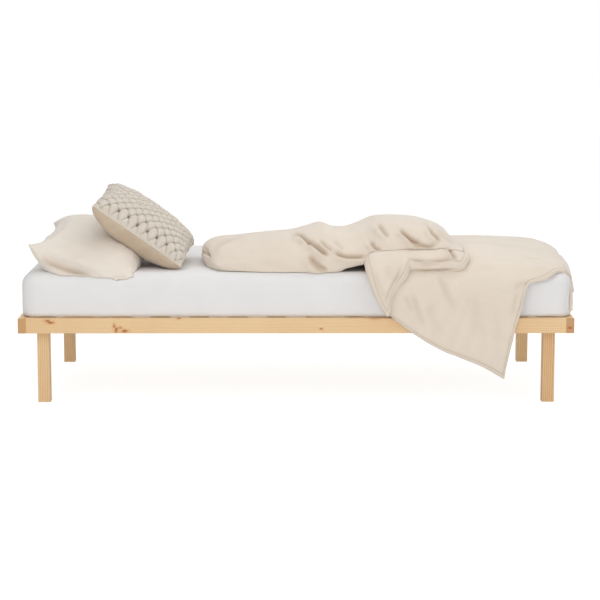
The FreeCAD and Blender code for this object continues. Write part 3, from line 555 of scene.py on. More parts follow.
@dataclass(frozen=True)
class SpunYarn:
    """Thick spun yarn: matt, with twisted plies across each stitch, a haze of loose fibres, and painted shade
    between the plies and deep between the stitches.
    """

    name: str
    ply: str
    # painted shade: the colour where the plies sink
    hollow_shade: str
    depth: str  # painted shade deep between the stitches, where the knit's shade attribute is 1
    ply_width: float = 3.6 * MM
    relief: float = 1.3 * MM
    fuzz: float = 1.1 * MM

    def build(self) -> Material:
        """Make the material; its plies follow the cut, whose X crosses the stitches."""
        material, tree, shader = new_material(self.name)
        place = add_node(tree, "TexCoord")
        plies = add_node(tree, "TexWave", {"bands_direction": "DIAGONAL"}, {
            "Vector": place.outputs["UV"], "Scale": WAVE_STEP / self.ply_width, "Distortion": 2.5,
            "Detail": 2.0, "Detail Scale": 1.5}).outputs["Fac"]
        haze = add_node(tree, "TexNoise", inputs={
            "Vector": place.outputs["Object"], "Scale": 1 / self.fuzz, "Detail": 3.0, "Roughness": 0.7})
        height = add_node(tree, "Math", {"operation": "MULTIPLY_ADD"}, {0: haze, 1: 0.5, 2: plies})
        tint = add_node(tree, "ValToRGB", inputs={"Fac": height},
                        stops=((0.15, colour(self.hollow_shade)), (0.8, colour(self.ply))))
        # painted shade deep between the stitches, written by the cushion's knit
        hollow_shade = add_node(tree, "Attribute", {"attribute_name": "hollow_shade"}).outputs["Fac"]
        deep = add_node(tree, "Mix", {"data_type": "RGBA"}, {
            0: hollow_shade, 6: tint, 7: colour(self.depth)}).outputs[2]
        bump = add_node(tree, "Bump", inputs={
            "Strength": 0.7, "Distance": self.relief, "Height": height})
        connect(shader, {"Base Color": deep, "Roughness": 0.95, "Sheen Weight": 0.4,
                         "Sheen Roughness": 0.6, "Specular IOR Level": 0.2, "Normal": bump})
        return material


# --- Studio ---

@dataclass(frozen=True)
class Studio:
    """A pale floor, soft lamps and an even sky."""

    floor_side: float = 30.0
    sky: str = "#fbfaf8"
    sky_strength: float = 0.42
    floor_tone: float = 0.94
    shown_tone: float = 0.30  # share of the light that the camera sees on the floor, over its own glow
    shown_glow: float = 0.88
    aim: Vector = field(default_factory=lambda: Vector((0, 0, 0.4)))  # what the lamps point at
    lamps: tuple[tuple[str, tuple[float, float, float], float, float], ...] = (  # side and watts last
        ("key_lamp", (-1.8, -3.2, 3.4), 3.2, 58.0), ("top_lamp", (0.9, 0.6, 3.8), 3.6, 56.0),
        ("fill_lamp", (3.4, -2.4, 2.0), 2.6, 20.0), ("back_lamp", (-0.5, 4.0, 2.6), 3.0, 36.0),
        ("low_lamp", (0.4, -5.4, 0.5), 1.0, 42.0))

    def build(self) -> None:
        """Add the floor, the sky and the lamps."""
        self._add_floor()
        self._add_sky()
        for name, place, side, power in self.lamps:
            self._add_lamp(name, Vector(place), side, power)

    def _add_floor(self) -> None:
        """Floor that is white to the camera, apart from the object's shadow."""
        mesh = bmesh.new()
        bmesh.ops.create_grid(mesh, x_segments=1, y_segments=1, size=self.floor_side / 2)
        material = bpy.data.materials.new("studio_floor")
        tree = bare_tree(material)
        paint, veil = (add_node(tree, "BsdfDiffuse", inputs={"Color": (tone, tone, tone, 1)})
                       for tone in (self.floor_tone, self.shown_tone))
        glow = add_node(tree, "Emission", inputs={"Color": WHITE, "Strength": self.shown_glow})
        both = add_node(tree, "AddShader", inputs={0: veil, 1: glow})
        mixed = add_node(tree, "MixShader", inputs={0: self._seen(tree), 1: paint, 2: both})
        add_node(tree, "OutputMaterial", inputs={"Surface": mixed})
        new_object("studio_floor", mesh, material)

    @staticmethod
    def _seen(tree: NodeTree) -> Node:
        """Return 1 for rays that show the background: from the camera, a gloss or through glass."""
        path = add_node(tree, "LightPath")
        seen = path.outputs["Is Camera Ray"]
        for ray in ("Is Glossy Ray", "Is Transmission Ray"):
            seen = add_node(tree, "Math", {"operation": "MAXIMUM"}, {0: seen, 1: path.outputs[ray]})
        return seen

    def _add_sky(self) -> None:
        """Even sky that lights the object softly and looks white itself."""
        world = bpy.data.worlds.new("studio_sky")
        bpy.context.scene.world = world
        tree = bare_tree(world)
        light, white = (add_node(tree, "Background", inputs={"Color": tint, "Strength": strength})
                        for tint, strength in ((colour(self.sky), self.sky_strength), (WHITE, 1.0)))
        mixed = add_node(tree, "MixShader", inputs={0: self._seen(tree), 1: light, 2: white})
        add_node(tree, "OutputWorld", inputs={"Surface": mixed})

    def _add_lamp(self, name: str, place: Vector, side: float, power: float) -> None:
        """Add a square soft lamp that points at the bed."""
        data = bpy.data.lights.new(name, "AREA")
        data.size = side
        data.energy = power
        lamp = link_object(name, data)
        lamp.location = place
        lamp.rotation_euler = (self.aim - place).to_track_quat("-Z", "Y").to_euler()


# --- Frame ---

@dataclass
class PineFrame:
    """The carried-over timbers and fasteners, each with its own cut of wood."""

    nodes: dict[str, Object]
    front_face: float = -0.47  # front face of the front rail
    knot_reach: float = 0.02  # how far a rail's knot goes in from its face
    front_knots: tuple[tuple[float, float, float, float, float], ...] = (
        # each knot's middle along and up, half width, half height and darkness
        (-0.911, 0.308, 0.009, 0.004, 0.75), (-0.899, 0.302, 0.011, 0.004, 0.9),
        (-0.667, 0.290, 0.005, 0.008, 0.6), (-0.659, 0.276, 0.006, 0.009, 0.8),
        (-0.645, 0.283, 0.010, 0.005, 0.45), (-0.629, 0.271, 0.011, 0.005, 0.8),
        (-0.429, 0.318, 0.006, 0.003, 0.8), (0.091, 0.279, 0.006, 0.004, 0.7),
        (0.293, 0.317, 0.022, 0.005, 0.3))
    back_knots: tuple[tuple[float, float, float, float, float], ...] = (
        (0.35, 0.30, 0.013, 0.007, 0.8), (-0.62, 0.279, 0.009, 0.006, 0.7))
    head_knot: Knot = Knot((-1.02, 0.18, 0.296), (0.02, 0.012, 0.006), 0.7)
    foot_knot: Knot = Knot((1.004, -0.47, 0.282), (0.010, 0.009, 0.006), 0.75)

    def dress(self) -> None:
        """Give every timber and fastener its material."""
        self._dress_rails()
        self._dress_legs()
        self._dress_slats()
        steel = PlainMetal().build()
        for name in ("corner_bolts", "barrel_nuts", "leg_bolts", "leg_washers", "rail_inserts",
                     "ledger_screws", "slat_screws"):
            self._dress(name, steel)
        self._dress("corner_dowels", PlanedPine(
            "turned_beech", Axis.X, (0.0, 0.01, 0.02), early_wood="#dcb993", late_wood="#c89f76",
            ring_width=1.6 * MM, fibre_width=0.6 * MM).build())
        # the tape's second colour is painted shade where its slubs and crumples sink
        self._dress("slat_tapes", WovenCotton(
            "polyester_tape", "#e8e6e0", "#cfccc4", pitch=2.0 * MM, crumple=0.2 * MM, sheen=0.1).build())

    def _dress(self, name: str, finish: Material) -> None:
        """Put one material in all of a node's slots."""
        for slot in self.nodes[name].material_slots:
            slot.material = finish

    def _side_knots(self, rows: Sequence[Sequence[float]], face: float) -> tuple[Knot, ...]:
        """Knots in the outer face of a side rail."""
        return tuple(Knot((along, face, up), (wide, self.knot_reach, high), depth)
                     for along, up, wide, high, depth in rows)

    def _dress_rails(self) -> None:
        """Rails: knots at the front where the photograph shows them."""
        front = self._side_knots(self.front_knots, self.front_face)
        back = self._side_knots(self.back_knots, -self.front_face)
        cuts = {
            "front_side_rail": PlanedPine("pine_front_rail", Axis.X, (0.0, 0.43, -0.23), front),
            "back_side_rail": PlanedPine("pine_back_rail", Axis.X, (0.4, -0.50, -0.25), back),
            "head_end_rail": PlanedPine("pine_head_rail", Axis.Y, (-0.27, 0.96, -0.262),
                                        (self.head_knot,), early_wood="#e2c092", end_wood="#b57f4a"),
            "foot_end_rail": PlanedPine("pine_foot_rail", Axis.Y, (-0.31, -1.03, -0.305),
                                        (self.foot_knot,), end_wood="#a26c3a")}
        for name, cut in cuts.items():
            self._dress(name, cut.build())

    def _dress_legs(self) -> None:
        """Legs: each from another stretch of wood, with long lines in the front foot leg."""
        plain = PlanedPine.late_wood
        for name, pith, early, late in (("front_head_leg", (0.2, 0.47, 0.98), "#e3c193", plain),
                                        ("front_foot_leg", (0.1, 0.41, -0.93), "#e0bd8d", "#b8834c"),
                                        ("back_head_leg", (0.5, -0.35, 0.99), "#edcfa2", plain),
                                        ("back_foot_leg", (0.9, -0.46, -0.88), "#e6c798", plain)):
            self._dress(name, PlanedPine(f"pine_{name}", Axis.Z, pith, early_wood=early, late_wood=late,
                                         ring_width=8 * MM).build())

    def _dress_slats(self) -> None:
        """Slats and ledgers: three cuts of plainer wood in turn."""
        cuts = [PlanedPine(f"pine_slat_{letter}", Axis.Y, (0.12 * turn, 0.3 * turn, -0.27 - 0.02 * turn),
                           ring_width=5.0 * MM).build() for turn, letter in enumerate("abc")]
        slats = sorted(name for name in self.nodes if name.startswith("slat_") and name[5:].isdigit())
        for turn, name in enumerate(slats):
            self._dress(name, cuts[turn % len(cuts)])
        strip = PlanedPine("pine_ledger", Axis.X, (0.3, 0.40, -0.31)).build()
        for name in ("front_ledger", "back_ledger"):
            self._dress(name, strip)


# --- Mattress ---

@dataclass
class Mattress:
    """Foam core in a fitted sheet, whose corners are rounded and whose hem is drawn in below."""

    corner: float = 0.060  # radius of the upright corners
    top_round: float = 0.046
    base_round: float = 0.012
    hem: float = 0.055  # how far the sheet reaches under the core
    cell: float = 0.011
    thickness: float = 1.0 * MM
    slack: float = 2.5 * MM  # the foam starts this far inside its solid, clear of the sheet's puckers
    swells: tuple[float, float] = (8 * MM, 14 * MM)  # at the head and at the foot
    swell_span: tuple[float, float] = (0.30, 0.02)  # distances from an end where its swell starts and is full
    dart_share: float = 0.6  # what a corner's dart takes off the square of cloth there
    body: str = "mattress"

    def build(self) -> None:
        """Build the core and the sheet."""
        self._build_core()
        low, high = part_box("fitted_sheet")
        half = ((high.x - low.x) / 2, (high.y - low.y) / 2)
        height = high.z - low.z
        inner = [side - self.corner for side in half]
        profile = self._profile(height)
        reach = profile[-1][0]
        flat = [2 * (side + reach) for side in inner]
        mesh = bmesh.new()
        bmesh.ops.create_grid(mesh, x_segments=round(flat[0] / self.cell),
                              y_segments=round(flat[1] / self.cell), size=0.5)
        points = np.array([point.co for point in mesh.verts]) * [flat[0], flat[1], 0]
        cut = mesh.loops.layers.uv.new("cut")
        for face in mesh.faces:
            for loop in face.loops:
                loop[cut].uv = (loop.vert.co.x * flat[0], loop.vert.co.y * flat[1])
        placed = self._wrap(points, inner, profile, high.z)
        for point, place in zip(mesh.verts, placed):
            point.co = place
        # the sheet's second colour is painted shade where its slubs and crumples sink
        sheet = new_object("sheet_on_mattress", mesh, WovenCotton(
            "cotton_percale_white", "#e9e8e8", "#e4e3e3", follows=Coordinates.CUT,
            crumple=0.5 * MM, crumple_size=120 * MM, sheen=0.15).build())
        self._crease(sheet, placed, high.z, height)
        self._bulge(sheet, half[0])
        wall = sheet.modifiers.new("cloth", "SOLIDIFY")
        wall.thickness = self.thickness
        wall.offset = -1
        apply_modifiers(sheet)
        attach(sheet, self.body)
        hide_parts("fitted_sheet")

    def _bulge(self, piece: Object, half: float) -> None:
        """Let both ends of a piece swell, as the photograph shows them."""
        points = read_points(piece)
        start, full = (half - distance for distance in self.swell_span)
        for end, swell in zip((-1, 1), self.swells):
            points[:, 0] += end * swell * smooth_step(end * points[:, 0], start, full)
        write_points(piece, points)

    def _build_core(self) -> None:
        """Foam core with rounded edges."""
        low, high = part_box("mattress_core")
        slack = Vector((self.slack,) * 3)
        low, high = low + slack, high - slack
        mesh = bmesh.new()
        bmesh.ops.create_cube(mesh, size=1.0)
        bmesh.ops.scale(mesh, vec=high - low, verts=mesh.verts)
        bmesh.ops.translate(mesh, vec=(low + high) / 2, verts=mesh.verts)
        upright = [edge for edge in mesh.edges if abs(edge.verts[0].co.z - edge.verts[1].co.z) > 0.01]
        bmesh.ops.bevel(mesh, geom=upright, offset=self.corner, segments=8, profile=0.5,
                        affect="EDGES", material=-1)
        for level, radius in ((high.z, self.top_round), (low.z, self.base_round)):
            rim = [edge for edge in mesh.edges if all(abs(point.co.z - level) < 1e-6 for point in edge.verts)]
            bmesh.ops.bevel(mesh, geom=rim, offset=radius, segments=6, profile=0.5,
                            affect="EDGES", material=-1)
        core = new_object("mattress_foam_core", mesh, OpenFoam().build())
        self._bulge(core, high.x)
        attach(core, self.body)
        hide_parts("mattress_core")

    def _profile(self, height: float) -> list[tuple[float, float, float]]:
        """Section of the sheet's edge as (length of cloth, distance out, drop)."""
        rows = [(0.0, 0.0, 0.0)]
        start = self.corner - self.top_round
        rows.append((start, start, 0.0))
        for turn in np.linspace(0, math.pi / 2, 9)[1:]:
            rows.append((start + self.top_round * turn, start + self.top_round * math.sin(turn),
                         self.top_round * (1 - math.cos(turn))))
        length = rows[-1][0] + height - self.top_round - self.base_round
        rows.append((length, self.corner, height - self.base_round))
        for turn in np.linspace(0, math.pi / 2, 5)[1:]:
            rows.append((length + self.base_round * turn,
                         self.corner - self.base_round * (1 - math.cos(turn)),
                         height - self.base_round * (1 - math.sin(turn))))
        under = self.hem - self.base_round
        rows.append((rows[-1][0] + under, self.corner - self.hem, height))
        return rows

    def _wrap(self, points: np.ndarray, inner: Sequence[float], profile: list, top: float) -> np.ndarray:
        """Lay the flat cut over the mattress.

        Args:
            points: the flat cut's points.
            inner: half sizes of the rectangle inside the corners' arcs.
            profile: the edge's section.
            top: height of the sheet's top.

        Returns:
            The points on the dressed mattress.
        """
        lengths, outs, drops = (np.array(column) for column in zip(*profile))
        over = np.maximum(np.abs(points[:, :2]) - np.array(inner), 0)
        far = over.max(axis=1)
        least = over.min(axis=1) / np.maximum(far, 1e-9)
        turn = np.where(over[:, 0] >= over[:, 1], least, 2 - least) * math.pi / 4
        direction = np.stack([np.cos(turn), np.sin(turn)], axis=1)
        out = np.interp(far, lengths, outs)
        plan = np.minimum(np.abs(points[:, :2]), np.array(inner)) + direction * out[:, None]
        placed = np.empty_like(points)
        placed[:, :2] = np.sign(points[:, :2]) * plan
        placed[:, 2] = top - np.interp(far, lengths, drops)
        return placed

    def _crease(self, sheet: Object, placed: np.ndarray, top: float, height: float) -> None:
        """Press shallow puckers into the sides and a slight ease into the top."""
        normals = read_normals(sheet)
        down = np.clip((top - placed[:, 2]) / height, 0, 1)
        upright = fractal(placed, (9.0, 9.0, 1.2), octaves=3, seed=3.7)
        broad = fractal(placed, (2.2, 3.0, 2.0), octaves=2, seed=9.1)
        across, along = np.abs(placed[:, 1]), np.abs(placed[:, 0])
        corner = smooth_step(along, 0.86, 1.0) * smooth_step(across, 0.32, 0.45)
        side = smooth_step(down, 0.15, 0.9)
        push = (0.9 * upright * side * (1 + 2.2 * corner) - 0.8 + 0.8 * broad) * MM
        write_points(sheet, placed + normals * np.minimum(push, 0.4 * MM)[:, None])


# --- Soft forms ---

Edge = Sequence[tuple[float, float, float, float]]


def along_edge(knots: Edge, at: np.ndarray) -> np.ndarray:
    """Read points on a seam.

    Args:
        knots: share of the way along the seam, and the seam's X, Y and Z there.
        at: shares of the way.

    Returns:
        The points.
    """
    rows = np.array(knots, float)
    return np.stack([curve_through(list(zip(rows[:, 0], rows[:, axis])), at) for axis in (1, 2, 3)], axis=-1)


def span_edges(front: Edge, back: Edge, left: Edge, right: Edge, s: np.ndarray, t: np.ndarray) -> np.ndarray:
    """Stretch a surface between four seams that share their corners.

    Args:
        front: the seam from left to right at t = 0.
        back: the seam from left to right at t = 1.
        left: the seam from front to back at s = 0.
        right: the seam from front to back at s = 1.
        s: shares of the way from left to right.
        t: shares of the way from front to back.

    Returns:
        Points of the surface.
    """
    f, b, l, r = along_edge(front, s), along_edge(back, s), along_edge(left, t), along_edge(right, t)
    s, t = s[..., None], t[..., None]
    corners = {(i, j): along_edge(edge, np.array(float(i))) for j, edge in ((0, front), (1, back))
               for i in (0, 1)}
    both = ((1 - s) * (1 - t) * corners[0, 0] + s * (1 - t) * corners[1, 0]
            + (1 - s) * t * corners[0, 1] + s * t * corners[1, 1])
    return (1 - s) * l + s * r + (1 - t) * f + t * b - both


@dataclass(frozen=True)
class Crease:
    """A fold seen in the photograph: a line of its pixels, pressed in, raised on one side and given painted
    shade.

    The raised side lies to the right of the line's direction, as the photograph is seen.
    """

    line: tuple[tuple[float, float], ...]
    width: float = 2.5  # pixels
    depth: float = 8 * MM
    bank: float = 0.5  # height of the raised side, as a share of the depth
    full: float = 16 * MM  # a crease this deep gets the fullest painted shade

    def push(self, pixels: np.ndarray) -> tuple[np.ndarray, np.ndarray]:
        """Return how far the surface at each pixel moves outwards, and how much painted shade the crease
        gives it.
        """
        points = np.array(self.line, float)
        steps = np.diff(points, axis=0)
        lengths = np.linalg.norm(steps, axis=1)
        starts = np.concatenate([[0], np.cumsum(lengths)])
        best = np.full(len(pixels), 1e9)
        side = np.zeros(len(pixels))
        place = np.zeros(len(pixels))
        for start, step, length, before in zip(points, steps, lengths, starts):
            away = pixels - start
            share = np.clip(away @ step / length ** 2, 0, 1)
            gap = away - share[:, None] * step
            distance = np.linalg.norm(gap, axis=1)
            cross = step[0] * away[:, 1] - step[1] * away[:, 0]
            near = distance < best
            best[near] = distance[near]
            side[near] = np.sign(cross[near]) * distance[near]
            place[near] = before + share[near] * length
        whole = starts[-1]
        ends = smooth_step(place, 0, 0.3 * whole) * smooth_step(whole - place, 0, 0.3 * whole)
        ends = np.maximum(ends, 0.12)
        groove = np.exp(-(side / self.width) ** 2)
        raised = np.exp(-((side - 2.2 * self.width) / (1.5 * self.width)) ** 2)
        broad = np.exp(-(side / (2.6 * self.width)) ** 2)
        # painted shade: darkest in the groove, with a broad fainter band beside it
        dark = (max(self.depth, 0) / self.full) ** 1.4 * min(1, 2.4 / self.width)
        shade = ends * dark * (0.8 * groove + 0.18 * broad)
        return self.depth * ends * (self.bank * raised - groove), shade


def crease_lines(*rows: tuple[tuple, float, float, float]) -> tuple[Crease, ...]:
    """Make creases of rows with the line, the width in pixels, the depth in millimetres and the bank."""
    return tuple(Crease(line, width, depth * MM, bank) for line, width, depth, bank in rows)


def press_creases(piece: Object, creases: Sequence[Crease], view: View) -> None:
    """Press the creases into the side of a piece that faces the photograph's viewpoint, and add their painted
    shade to its crease attribute.
    """
    points, normals = read_points(piece), read_normals(piece)
    pixels = view.pixels(points)
    towards = np.array(view.place) - points
    towards /= np.linalg.norm(towards, axis=1)[:, None]
    facing = smooth_step(np.einsum("ij,ij->i", normals, towards), 0.02, 0.3)
    pushes, shades = zip(*(crease.push(pixels) for crease in creases))
    write_points(piece, points + normals * (sum(pushes) * facing)[:, None])
    # painted shade: added to any shade already written, such as that of the hem's stitch grooves
    mark = piece.data.attributes.get("crease") or piece.data.attributes.new("crease", "FLOAT", "POINT")
    earlier_shade = np.zeros(len(points))
    mark.data.foreach_get("value", earlier_shade)
    mark.data.foreach_set("value", np.clip(earlier_shade + sum(shades) * facing, 0, 1))


@dataclass(frozen=True)
class Inflation:
    """A short cloth simulation that swells a stuffed case and lets its skin settle."""

    most: float  # how far a point may move
    pressure: float = 2.5
    frames: int = 12

    def run(self, piece: Object) -> None:
        """Swell a piece and keep the result."""
        before = read_points(piece)
        cloth = piece.modifiers.new("cloth", "CLOTH")
        settings = cloth.settings
        settings.quality = 5
        settings.mass = 0.3
        settings.bending_stiffness = 0.4
        settings.use_pressure = True
        settings.uniform_pressure_force = self.pressure
        settings.effector_weights.gravity = 0
        cloth.collision_settings.use_collision = False
        cloth.point_cache.frame_end = self.frames
        scene = bpy.context.scene
        for number in range(1, self.frames + 1):
            scene.frame_set(number)
        graph = bpy.context.evaluated_depsgraph_get()
        swollen = piece.evaluated_get(graph).to_mesh()
        after = np.zeros(len(swollen.vertices) * 3)
        swollen.vertices.foreach_get("co", after)
        piece.evaluated_get(graph).to_mesh_clear()
        piece.modifiers.clear()
        scene.frame_set(1)
        move = after.reshape(-1, 3) - before
        far = np.maximum(np.linalg.norm(move, axis=1), 1e-9)
        write_points(piece, before + move * np.minimum(1, self.most / far)[:, None])


@dataclass
class StuffedForm:
    """A filled case: two panels sewn together along four seams and crowned between them."""

    front: Edge
    back: Edge
    left: Edge
    right: Edge
    rise: Callable[[np.ndarray, np.ndarray], np.ndarray]  # upper panel's height above the seams' surface
    fall: Callable[[np.ndarray, np.ndarray], np.ndarray]  # lower panel's depth below it
    cell: float = 7 * MM
    sharpness: tuple[float, float] = (3.0, 3.0)  # along s and t: a higher one gives squarer shoulders
    softness: float = 0.5
    roundness: float = 0.06  # how far the corners are drawn in

    def fullness(self, s: np.ndarray, t: np.ndarray) -> np.ndarray:
        """Crown's share at a place: 0 on the seams and 1 in the middle."""
        u, v = np.abs(2 * s - 1), np.abs(2 * t - 1)
        return np.maximum((1 - u ** self.sharpness[0]) * (1 - v ** self.sharpness[1]), 0) ** self.softness

    def surface(self, s: np.ndarray, t: np.ndarray, upper: bool) -> np.ndarray:
        """Points of the upper or the lower panel at shares of the way from left to right and to the back."""
        u, v = 2 * s - 1, 2 * t - 1
        place = span_edges(self.front, self.back, self.left, self.right,
                           0.5 + 0.5 * u * np.sqrt(1 - self.roundness * v ** 2),
                           0.5 + 0.5 * v * np.sqrt(1 - self.roundness * u ** 2))
        height = self.rise(s, t) if upper else -self.fall(s, t)
        place[..., 2] += height * self.fullness(s, t)
        return place

    def shares(self, counts: tuple[int, int], upper: bool) -> tuple[np.ndarray, np.ndarray]:
        """Grid of shares whose cells are about as long on the steep sides as on the crown."""
        fine = np.linspace(0, 1, 161)
        halves = np.full_like(fine, 0.5)
        even = self._even(fine, self.surface(fine, halves, True)[None], counts[0])[0]
        s = np.repeat(even[:, None], counts[1] + 1, axis=1)
        wide, deep = np.meshgrid(even, fine, indexing="ij")
        return s, self._even(fine, self.surface(wide, deep, upper), counts[1])

    @staticmethod
    def _even(fine: np.ndarray, lines: np.ndarray, count: int) -> np.ndarray:
        """Shares that cut each line into steps of about the same length."""
        steps = np.linalg.norm(np.diff(lines, axis=1), axis=2) + 1e-6
        run = np.concatenate([np.zeros((len(lines), 1)), np.cumsum(steps, axis=1)], axis=1)
        run /= run[:, -1:]
        return np.array([np.interp(np.linspace(0, 1, count + 1), row, fine) for row in run])

    def build(self, name: str, finish: Material) -> Object:
        """Build the closed case.

        Args:
            name: the piece's name.
            finish: its material.

        Returns:
            The piece, with its flat cut in metres as UVs.
        """
        fine = np.linspace(0, 1, 61)
        halves = np.full_like(fine, 0.5)
        ways = [np.linalg.norm(np.diff(self.surface(*pair, True), axis=0), axis=1).sum()
                for pair in ((fine, halves), (halves, fine))]
        counts = tuple(max(8, round(way / self.cell)) for way in ways)
        mesh = bmesh.new()
        cut = mesh.loops.layers.uv.new("cut")
        panel = mesh.faces.layers.int.new("upper_panel")
        for upper in (True, False):
            made, cells = add_grid(mesh, counts)
            s, t = (shares[cells[:, 0], cells[:, 1]] for shares in self.shares(counts, upper))
            for point, at in zip(made, self.surface(s, t, upper)):
                point.co = at
            faces = {face for point in made for face in point.link_faces}
            sizes = {point: cells[number] / counts * ways for number, point in enumerate(made)}
            for face in faces:
                face[panel] = upper
                for loop in face.loops:
                    loop[cut].uv = sizes[loop.vert]
            if not upper:
                bmesh.ops.reverse_faces(mesh, faces=list(faces))
        bmesh.ops.remove_doubles(mesh, verts=mesh.verts, dist=1e-5)
        return new_object(name, mesh, finish)

    def pucker(self, piece: Object, depth: float, reach: float, spacing: float, seed: float) -> None:
        """Gather the skin beside the seams.

        Args:
            piece: the built case.
            depth: depth of the puckers.
            reach: how far they run in from a seam.
            spacing: distance from one to the next.
            seed: a shift that gives another pattern.
        """
        points, normals = read_points(piece), read_normals(piece)
        share, ends, apart = np.linspace(0, 1, 160), np.array([0.0, 1.0]), 7.0
        edges = (self.front, self.back, self.left, self.right)
        seams = np.concatenate([along_edge(edge, share) for edge in edges])
        runs = np.concatenate([share * np.linalg.norm(np.diff(along_edge(edge, ends), axis=0))
                               + number * apart for number, edge in enumerate(edges)])
        gaps = np.linalg.norm(points[:, None, :] - seams[None, :, :], axis=2)
        nearest = gaps.argmin(axis=1)
        gap, run = gaps.min(axis=1), runs[nearest]
        wave = np.array([noise.noise(Vector((r / spacing + seed, g / (3 * reach), seed)))
                         for r, g in zip(run, gap)])
        fade = np.exp(-(gap / reach) ** 2) * smooth_step(gap, 0, 0.15 * reach)
        write_points(piece, points + normals * (depth * wave * fade)[:, None])


def keep_above(piece: Object, ground: Callable[[np.ndarray], np.ndarray], gap: float) -> None:
    """Lift the vertices that sink below a ground height given for each place."""
    points = read_points(piece)
    points[:, 2] = np.maximum(points[:, 2], ground(points) + gap)
    write_points(piece, points)


def mattress_ground(points: np.ndarray) -> np.ndarray:
    """Height of the dressed mattress under each point, over its rounded rim; far below beside it."""
    low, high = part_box("fitted_sheet")
    rim = Mattress.top_round
    edge = np.minimum.reduce([points[:, 0] - low.x, high.x - points[:, 0],
                              points[:, 1] - low.y, high.y - points[:, 1]])
    inside = np.clip(rim - edge, 0, rim)
    drop = rim - np.sqrt(np.maximum(rim ** 2 - inside ** 2, 0))
    return np.where(edge < 0, -1.0, high.z - drop)


def tree_of(piece: Object) -> BVHTree:
    """Return a search tree of a piece's faces."""
    mesh = bmesh_of(piece)
    tree = BVHTree.FromBMesh(mesh)
    mesh.free()
    return tree


def keep_below(piece: Object, ceiling: BVHTree, gap: float) -> None:
    """Press down the vertices that reach above the underside of what lies on them."""
    points = read_points(piece)
    for number, point in enumerate(points):
        place = ceiling.ray_cast(Vector((point[0], point[1], 0.0)), Vector((0, 0, 1)))[0]
        if place is not None:
            points[number, 2] = min(point[2], place.z - gap)
    write_points(piece, points)


# --- Pillow and cushion ---

